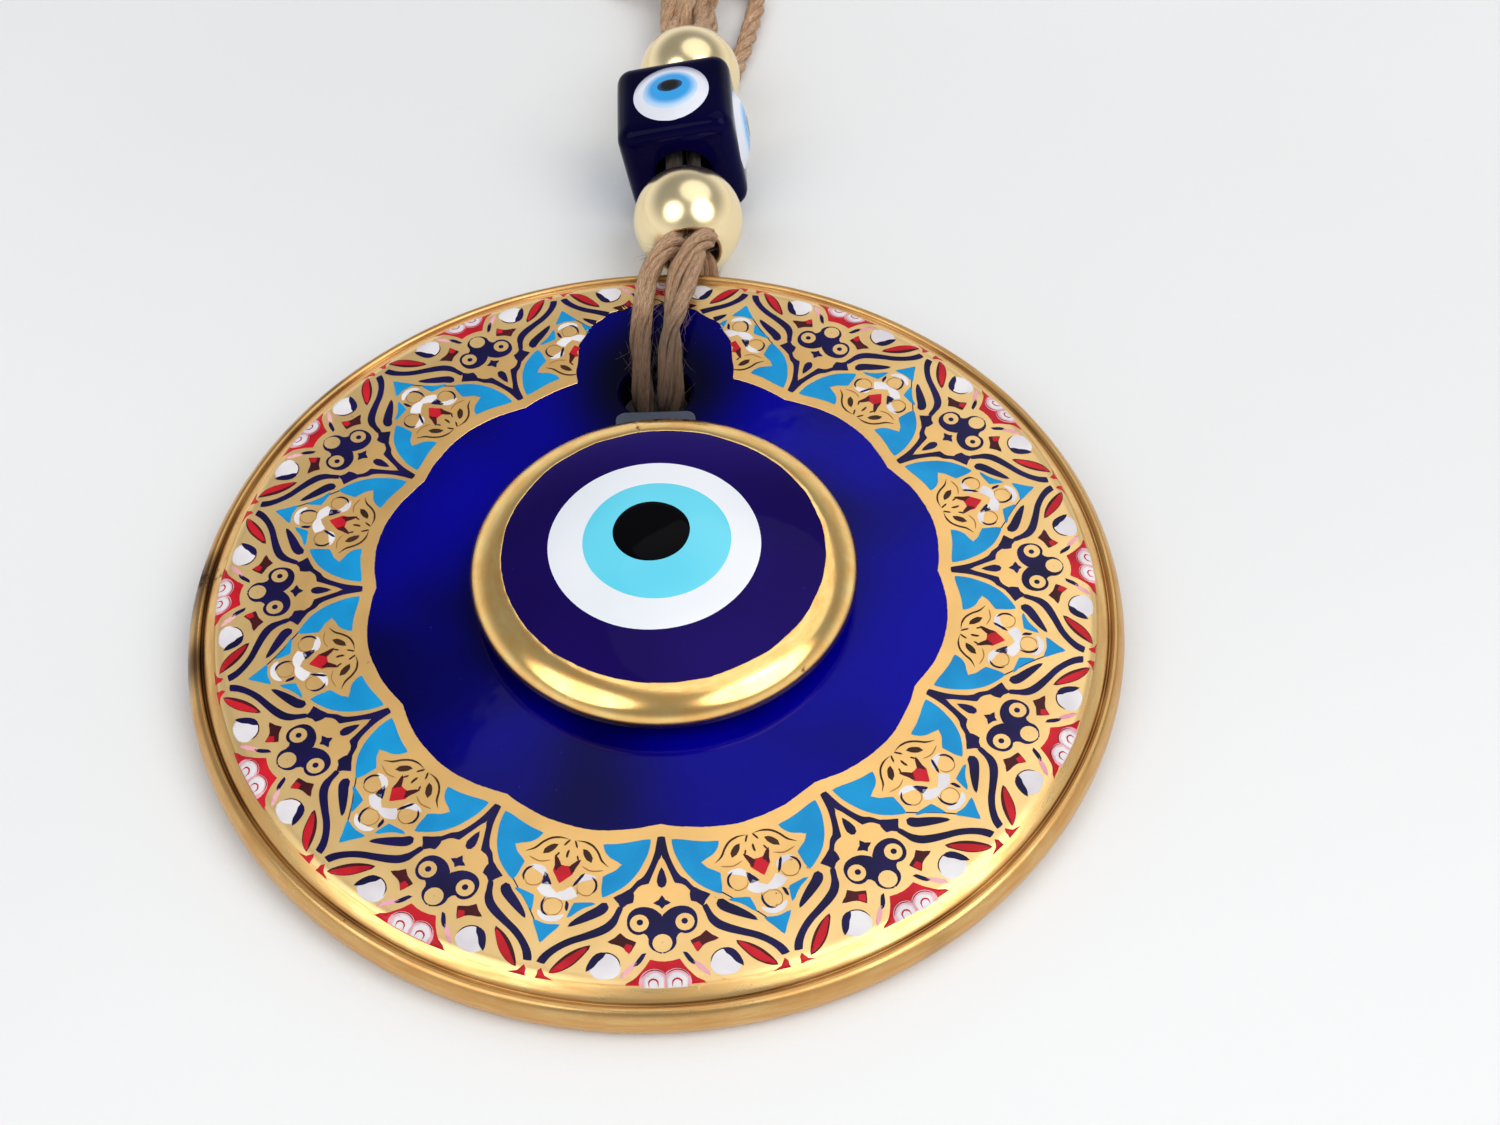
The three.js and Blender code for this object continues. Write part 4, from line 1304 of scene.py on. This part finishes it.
def carriedFrames(line):
    # a side direction carried along the line without twisting
    alongs = [(line[min(i + 1, len(line) - 1)] - line[max(i - 1, 0)]).normalized() for i in range(len(line))]
    side = alongs[0].cross(Vector((0.13, 0.31, 0.94))).normalized()
    frames = []
    for along in alongs:
        side = (side - along * side.dot(along)).normalized()
        frames.append((along, side, along.cross(side)))
    return frames


def addTube(work, uvLayer, centres, radii, sides, seed, capped=True):
    frames = carriedFrames(centres)
    rings, lengths = [], [0.0]
    for i, (centre, radius) in enumerate(zip(centres, radii)):
        if i:
            lengths.append(lengths[-1] + (centre - centres[i - 1]).length)
        along, side, up = frames[i]
        ring = []
        for k in range(sides):
            angle = 2 * math.pi * k / sides
            lump = 1 + twineSettings["squash"] * noise.noise((
                lengths[-1] * 0.45, seed * 7.7 + 1.3 * math.cos(angle), 1.3 * math.sin(angle)))
            outward = side * math.cos(angle) + up * math.sin(angle)
            ring.append(work.verts.new(centre + outward * radius * lump))
        rings.append(ring)
    for i in range(len(rings) - 1):
        for k in range(sides):
            j = (k + 1) % sides
            face = work.faces.new((rings[i][k], rings[i][j], rings[i + 1][j], rings[i + 1][k]))
            corners = ((lengths[i], k), (lengths[i], k + 1), (lengths[i + 1], k + 1), (lengths[i + 1], k))
            for loop, (distance, turn) in zip(face.loops, corners):
                loop[uvLayer].uv = (distance + seed * 13.1, turn / sides)
    if capped:
        work.faces.new(rings[0][::-1])
        work.faces.new(rings[-1])


def addHair(work, uvLayer, root, outward, along, length, rand):
    bend = Vector((rand.uniform(-1, 1), rand.uniform(-1, 1), rand.uniform(-0.4, 1)))
    lift = rand.uniform(0.05, 0.40) if rand.random() < 0.8 else rand.uniform(0.4, 0.9)
    direction = (along * rand.choice((-1, 1)) + outward * lift).normalized()
    spot, centres = root.copy(), [root.copy()]
    for k in range(4):
        direction = (direction + bend * 0.10).normalized()
        spot = spot + direction * length / 4
        centres.append(spot.copy())
    radius = twineSettings["hairRadius"] * rand.uniform(0.7, 1.3)
    radii = [radius * taper for taper in (1, 1, 0.85, 0.6, 0.3)]
    addTube(work, uvLayer, centres, radii, 3, rand.random(), False)


def addTows(work, uvLayer, centres, radii, seed):
    # a loose ply: thin tows of fibre that lie side by side, part a little and come together again
    count = twineSettings["tows"]
    frames = carriedFrames(centres)
    for tow in range(count + 1):
        towCentres, towRadii = [], []
        for i, (spot, radius) in enumerate(zip(centres, radii)):
            along, side, up = frames[i]
            travel = i * twineSettings["step"]
            angle = 2 * math.pi * (travel / twineSettings["combPitch"] + tow / count)
            angle += 0.9 * noise.noise((travel * 0.09, seed, tow * 3.3))
            reach = radius * (0.60 + 0.13 * noise.noise((travel * 0.16, seed + 5, tow * 2.1)))
            if tow == count:
                reach = 0
            towCentres.append(spot + (side * math.cos(angle) + up * math.sin(angle)) * reach)
            towRadii.append(radius * (0.44 + 0.07 * noise.noise((travel * 0.2, seed + 9, tow * 1.7))))
        addTube(work, uvLayer, towCentres, towRadii, 7, seed * 2.3 + tow)


def addTwine(work, uvLayer, route, radius, plies, pitch, seed, hairs=1.3, hairLength=(0.8, 2.0), bald=(),
             looseness=None, thickness=None, inTows=False, frayed=False):
    # plies wound round the route; hairs are per mm, and bald lists the Y ranges that have none
    rand = random.Random(seed)
    line = smoothLine(route, twineSettings["step"])
    frames = carriedFrames(line)
    plyRadius = radius * {1: 1.0, 2: 0.58, 3: 0.50}[plies]
    offset = radius - plyRadius
    distances = [0.0]
    for a, b in zip(line, line[1:]):
        distances.append(distances[-1] + (b - a).length)
    total = distances[-1]
    for ply in range(plies):
        centres, radii = [], []
        for i, spot in enumerate(line):
            along, side, up = frames[i]
            angle = 2 * math.pi * (distances[i] / pitch + ply / plies) + seed
            angle += 0.5 * noise.noise((distances[i] * 0.12, seed, 2))
            spread = looseness(spot) if looseness else 1.0
            size = thickness(spot) if thickness else 1.0
            reach = offset * spread * size * (1 + 0.10 * noise.noise((distances[i] * 0.3, seed + ply, 4)))
            centres.append(spot + (side * math.cos(angle) + up * math.sin(angle)) * reach)
            swell = 1 + 0.07 * noise.noise((distances[i] * 0.25, seed * 3.1 + ply, 9))
            if frayed:
                swell *= 0.55 + 0.45 * min(1, (total - distances[i]) / 3)
            radii.append(plyRadius * swell * size)
        if inTows:
            addTows(work, uvLayer, centres, radii, seed * 1.7 + ply)
        else:
            addTube(work, uvLayer, centres, radii, twineSettings["sides"], seed * 1.7 + ply)
    for n in range(int(total * hairs)):
        i = rand.randrange(len(line))
        along, side, up = frames[i]
        spot = line[i]
        angle = rand.uniform(0, 2 * math.pi)
        outward = side * math.cos(angle) + up * math.sin(angle)
        length = rand.uniform(*hairLength)
        if any(low < spot.y < high for low, high in bald):
            continue
        if spot.z + outward.z * radius < tableZ + 0.9 and outward.z < 0.2:
            continue
        addHair(work, uvLayer, spot + outward * radius * 0.86, outward, along, length, rand)
    if frayed:
        for n in range(twineSettings["frayHairs"]):
            along, side, up = frames[-1]
            angle = rand.uniform(0, 2 * math.pi)
            outward = side * math.cos(angle) + up * math.sin(angle)
            root = line[-1] - along * rand.uniform(0.2, 2.0) + outward * radius * rand.uniform(0, 0.6)
            outward.z = abs(outward.z) * 0.4
            outward = along * 1.5 + outward * 0.5
            addHair(work, uvLayer, root, outward, along * 0.01, rand.uniform(1.0, 2.4), rand)


def twinePiece(name, draw):
    work = bmesh.new()
    uvLayer = work.loops.layers.uv.new("fibres")
    draw(work, uvLayer)
    for vert in work.verts:
        vert.co.z = max(vert.co.z, twineSettings["lowest"])
    return makePiece(name, work, "jute")


# where the four runs go inside the bead bores: centre line, then each run's offset across and up
boreLine = [(5.8, 71.0, 6.7), (5.8, 77.5, 6.95), (5.7, 84.9, 7.35), (5.4, 90.8, 8.15), (5.26, 98.8, 8.7),
            (5.3, 107.4, 9.1), (6.1, 112.1, 8.8), (6.9, 119.5, 7.4), (7.35, 126.5, 5.95)]
neckLine = [(7.3, 131.0, 5.0), (7.05, 136.5, 3.7), (6.9, 142.5, 3.1), (7.2, 151.5, 3.0)]


def runThroughBores(bore, neck):
    through = [(x + bore[0], y, z + bore[1]) for x, y, z in boreLine]
    return through + [(x + neck[0], y, z + neck[1]) for x, y, z in neckLine]


runSettings = {
    "leftRun": {
        "front": [(-1.9, 44.0, -0.5), (-1.95, 41.2, -0.45), (-2.0, 39.2, 0.5), (-2.0, 38.1, 3.2),
                  (-2.0, 38.2, 6.6), (-2.05, 39.9, 9.7), (-2.1, 43.5, 10.7), (-1.9, 50, 10.9),
                  (-1.2, 57, 11.0), (0.4, 62.5, 11.2), (2.0, 66, 10.6), (3.3, 69, 9.2)],
        "bore": (-1.75, 1.65),
        "neck": (-2.9, 1.35),
        "radius": 1.62, "plies": 1, "pitch": 40.0, "seed": 3, "spread": 1.0,
    },
    "rightRun": {
        "front": [(2.3, 44.0, -0.5), (2.3, 41.2, -0.45), (2.3, 39.0, 0.5), (2.3, 37.9, 3.2), (2.3, 37.9, 6.6),
                  (2.3, 39.5, 10.0), (2.6, 44, 11.0), (3.4, 50, 11.2), (4.4, 57, 11.3), (5.8, 62.5, 11.2),
                  (7.1, 66, 10.8), (7.9, 69, 9.4)],
        "bore": (1.75, 1.65),
        "neck": (1.0, 2.2),
        "radius": 2.15, "plies": 2, "pitch": 44.0, "seed": 8, "spread": 1.35,
    },
    "leftReturn": {
        "front": [(-1.9, 44.0, -0.5), (-1.3, 48, -0.5), (0, 53, -0.5), (1.5, 60, -0.5), (2.6, 64, 0.9),
                  (3.5, 67.6, 3.6), (4.0, 70.2, 5.0)],
        "bore": (-1.75, -1.65),
        "neck": (-1.4, -2.3),
        "radius": 1.72, "plies": 2, "pitch": 34.0, "seed": 15, "spread": 1.0,
    },
    "rightReturn": {
        "front": [(2.3, 44.0, -0.5), (3.7, 48, -0.5), (5.4, 53, -0.5), (7.6, 60, -0.5), (8.7, 64, 1.2),
                  (8.9, 67.6, 4.0), (8.2, 70.4, 5.3)],
        "bore": (1.75, -1.65),
        "neck": (3.1, 0.2),
        "radius": 1.72, "plies": 2, "pitch": 38.0, "seed": 21, "spread": 1.0,
    },
}


def runRoute(spec):
    return spec["front"] + runThroughBores(spec["bore"], spec["neck"])


def runLooseness(spec):
    # slack and open on the disc, pressed together in the bores, fluffed out again in the neck
    def spreadAt(spot):
        if 70 < spot.y < 128:
            return 0.86
        if spot.y >= 128:
            return 0.86 + 0.50 * min(1, (spot.y - 128) / 5)
        if spot.z < 6 or spot.y > 64:
            return 1.0
        return 1.0 + (spec["spread"] - 1.0) * math.sin(math.pi * min(1, max(0, (spot.y - 39) / 27)))
    return spreadAt


def runThickness(spec):
    # swollen where it fans out at the bead's mouth, squeezed in the bores, fluffed out in the neck
    def sizeAt(spot):
        mouth = math.exp(-((spot.y - 68.5) / 3.6) ** 2) if spot.z > 6.6 else 0
        neck = min(1, max(0, (spot.y - 127.5) / 4)) * min(1, max(0, (154 - spot.y) / 4))
        slim = min(1, 1.52 / spec["radius"]) if 73 < spot.y < 128 else 1.0
        return slim * (1 + 0.36 * mouth + 0.42 * neck)
    return sizeAt


nodesOfRun = {
    "leftRun": ["front_strand_left"],
    "rightRun": ["front_strand_right"],
    "leftReturn": ["rear_strand_left", "bead_core_cord"],
    "rightReturn": ["rear_strand_right", "neck_bundle"],
}

for runName, spec in runSettings.items():
    def drawRun(work, uvLayer, spec=spec):
        addTwine(work, uvLayer, runRoute(spec), spec["radius"], spec["plies"], spec["pitch"], spec["seed"],
                 hairs=5.0, bald=[(67.5, 130.5), (150.0, 160.0)], looseness=runLooseness(spec),
                 thickness=runThickness(spec), inTows=True, hairLength=(1.4, 4.2))
    run = twinePiece(runName, drawRun)
    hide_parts(*nodesOfRun[runName])
    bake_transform(run)
report("four runs of twine made")


# the two cut ends and the hanging loop are free cords

lyingZ = tableZ + 2.0
tailRightRoute = [(14.6, 161.8, 4.6), (16.6, 163.4, 3.6), (19.0, 163.6, 1.7), (20.8, 161, 0),
                  (21.0, 156.5, lyingZ), (19.6, 149.5, lyingZ), (18.3, 143, lyingZ), (16.4, 136, lyingZ),
                  (14.9, 129.5, lyingZ)]
tailLeftRoute = [(0.6, 160.9, 4.6), (-1.2, 162.0, 3.4), (-3.7, 162.9, 1.6), (-8, 165.2, lyingZ),
                 (-11.6, 170, lyingZ), (-13.2, 177, lyingZ), (-13, 185, lyingZ)]
loopCentre, loopRadius = (8, 224), 11.4
loopRoute = [(5.7, 168.6, 4.4), (5.7, 170.1, 3.9), (5.2, 175, 1.8), (4.2, 182, 0), (1.2, 194, lyingZ),
             (-1.6, 207, lyingZ), (-3.1, 217, lyingZ)]
loopRoute += [(loopCentre[0] + loopRadius * math.cos(math.pi * (1 - i / 6)),
               loopCentre[1] + loopRadius * math.sin(math.pi * (1 - i / 6)), lyingZ) for i in range(7)]
loopRoute += [(19.1, 217, lyingZ), (17.6, 207, lyingZ), (14.6, 194, lyingZ), (11.5, 182, 0), (10.4, 175, 1.8),
              (9.9, 170.1, 3.9), (9.9, 168.6, 4.4)]

freeCordSettings = {
    # route, plies, pitch, seed, frayed end, node, far end
    "tailRight": (tailRightRoute, 3, 15.0, 31, True, "tail_right", "bare"),
    "tailLeft": (tailLeftRoute, 3, 16.0, 37, True, "tail_left", "bare"),
    "hangingLoop": (loopRoute, 3, 16.0, 41, False, "hanging_loop", "object"),
}
freeCordDiameter = 3.6

for cordName, (route, plies, pitch, seed, frayed, node, farEnd) in freeCordSettings.items():
    def drawCord(work, uvLayer, route=route, plies=plies, pitch=pitch, seed=seed, frayed=frayed):
        addTwine(work, uvLayer, route, freeCordDiameter / 2, plies, pitch, seed,
                 bald=[] if frayed else [(157.0, 166.0)], frayed=frayed)
    cordPiece = twinePiece(cordName, drawCord)
    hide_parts(node)
    if cordName == "hangingLoop":
        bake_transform(cordPiece)
    else:
        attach(cordPiece, "string")
    line = smoothLine(route, 1.0)
    length = sum((b - a).length for a, b in zip(line, line[1:]))
    report(f"{cordName} is {length:.0f} mm long")


# the knot that stops the beads: three cords wound round the bundle and over each other

knotSettings = {
    "centre": (7.7, 160.0, 4.54),
    "radius": 4.85,
    "halfLength": 7.2,
    "halfTurns": 3.4,
    "cord": 1.95,
    "wraps": ((0.4, 1.1), (0.4 + math.pi * 2 / 3, 0.6), (0.4 + math.pi * 4 / 3, -1.0)),  # phase, sway
}


def knotRoute(phase, sway):
    points = []
    steps = 40
    for i in range(steps + 1):
        t = i / steps
        angle = phase + math.pi * knotSettings["halfTurns"] * t
        along = knotSettings["halfLength"] * (2 * t - 1) + sway * math.sin(4 * math.pi * t)
        swell = knotSettings["radius"] * (0.80 + 0.20 * math.sin(math.pi * t))
        x, y, z = knotSettings["centre"]
        points.append((x + swell * math.cos(angle), y + along, z + swell * math.sin(angle)))
    return points


def drawKnot(work, uvLayer):
    for n, (phase, sway) in enumerate(knotSettings["wraps"]):
        addTwine(work, uvLayer, knotRoute(phase, sway), knotSettings["cord"], 3, 13.0, 50 + n, hairs=1.0)
    core = [(7.3, 150.8, 3.4), (7.6, 156, 4.2), (7.8, 163, 4.4), (7.8, 169.2, 4.2)]
    addTwine(work, uvLayer, core, 3.6, 3, 26.0, 57, hairs=0)


knot = twinePiece("stopperKnot", drawKnot)
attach(knot, "string")
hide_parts("top_knot")
report("knot, tails and loop made")


# plain pale table

tableMaterial, tableTree, tableShader, tablePlace = newMaterial("paleTable", **{"Roughness": 0.75})
weave = noiseNode(tableTree, tablePlace.outputs["Object"], 900.0, 2.0)
# painted shade: soft lighter and darker patches stand in for folds in the cloth
foldShading = noiseNode(tableTree, tablePlace.outputs["Object"], 3.0, 2.0)
tableTree.links.new(mixColour(tableTree, mapRange(tableTree, foldShading, 0.35, 0.65, 0, 1, True),
                              (0.80, 0.81, 0.82), (0.86, 0.87, 0.88)), tableShader.inputs["Base Color"])
tableTree.links.new(bumpNode(tableTree, weave, 0.0001, 0.4), tableShader.inputs["Normal"])
tableWork = bmesh.new()
bmesh.ops.create_grid(tableWork, x_segments=8, y_segments=8, size=1500)  # half its width
for vert in tableWork.verts:
    vert.co = vert.co * mm + Vector((0, 0.1, tableZ * mm))
tableMesh = bpy.data.meshes.new("paleTable")
tableWork.to_mesh(tableMesh)
tableWork.free()
tableMesh.materials.append(tableMaterial)
table = bpy.data.objects.new("paleTable", tableMesh)
scene.collection.objects.link(table)

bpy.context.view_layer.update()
report("sizes written")
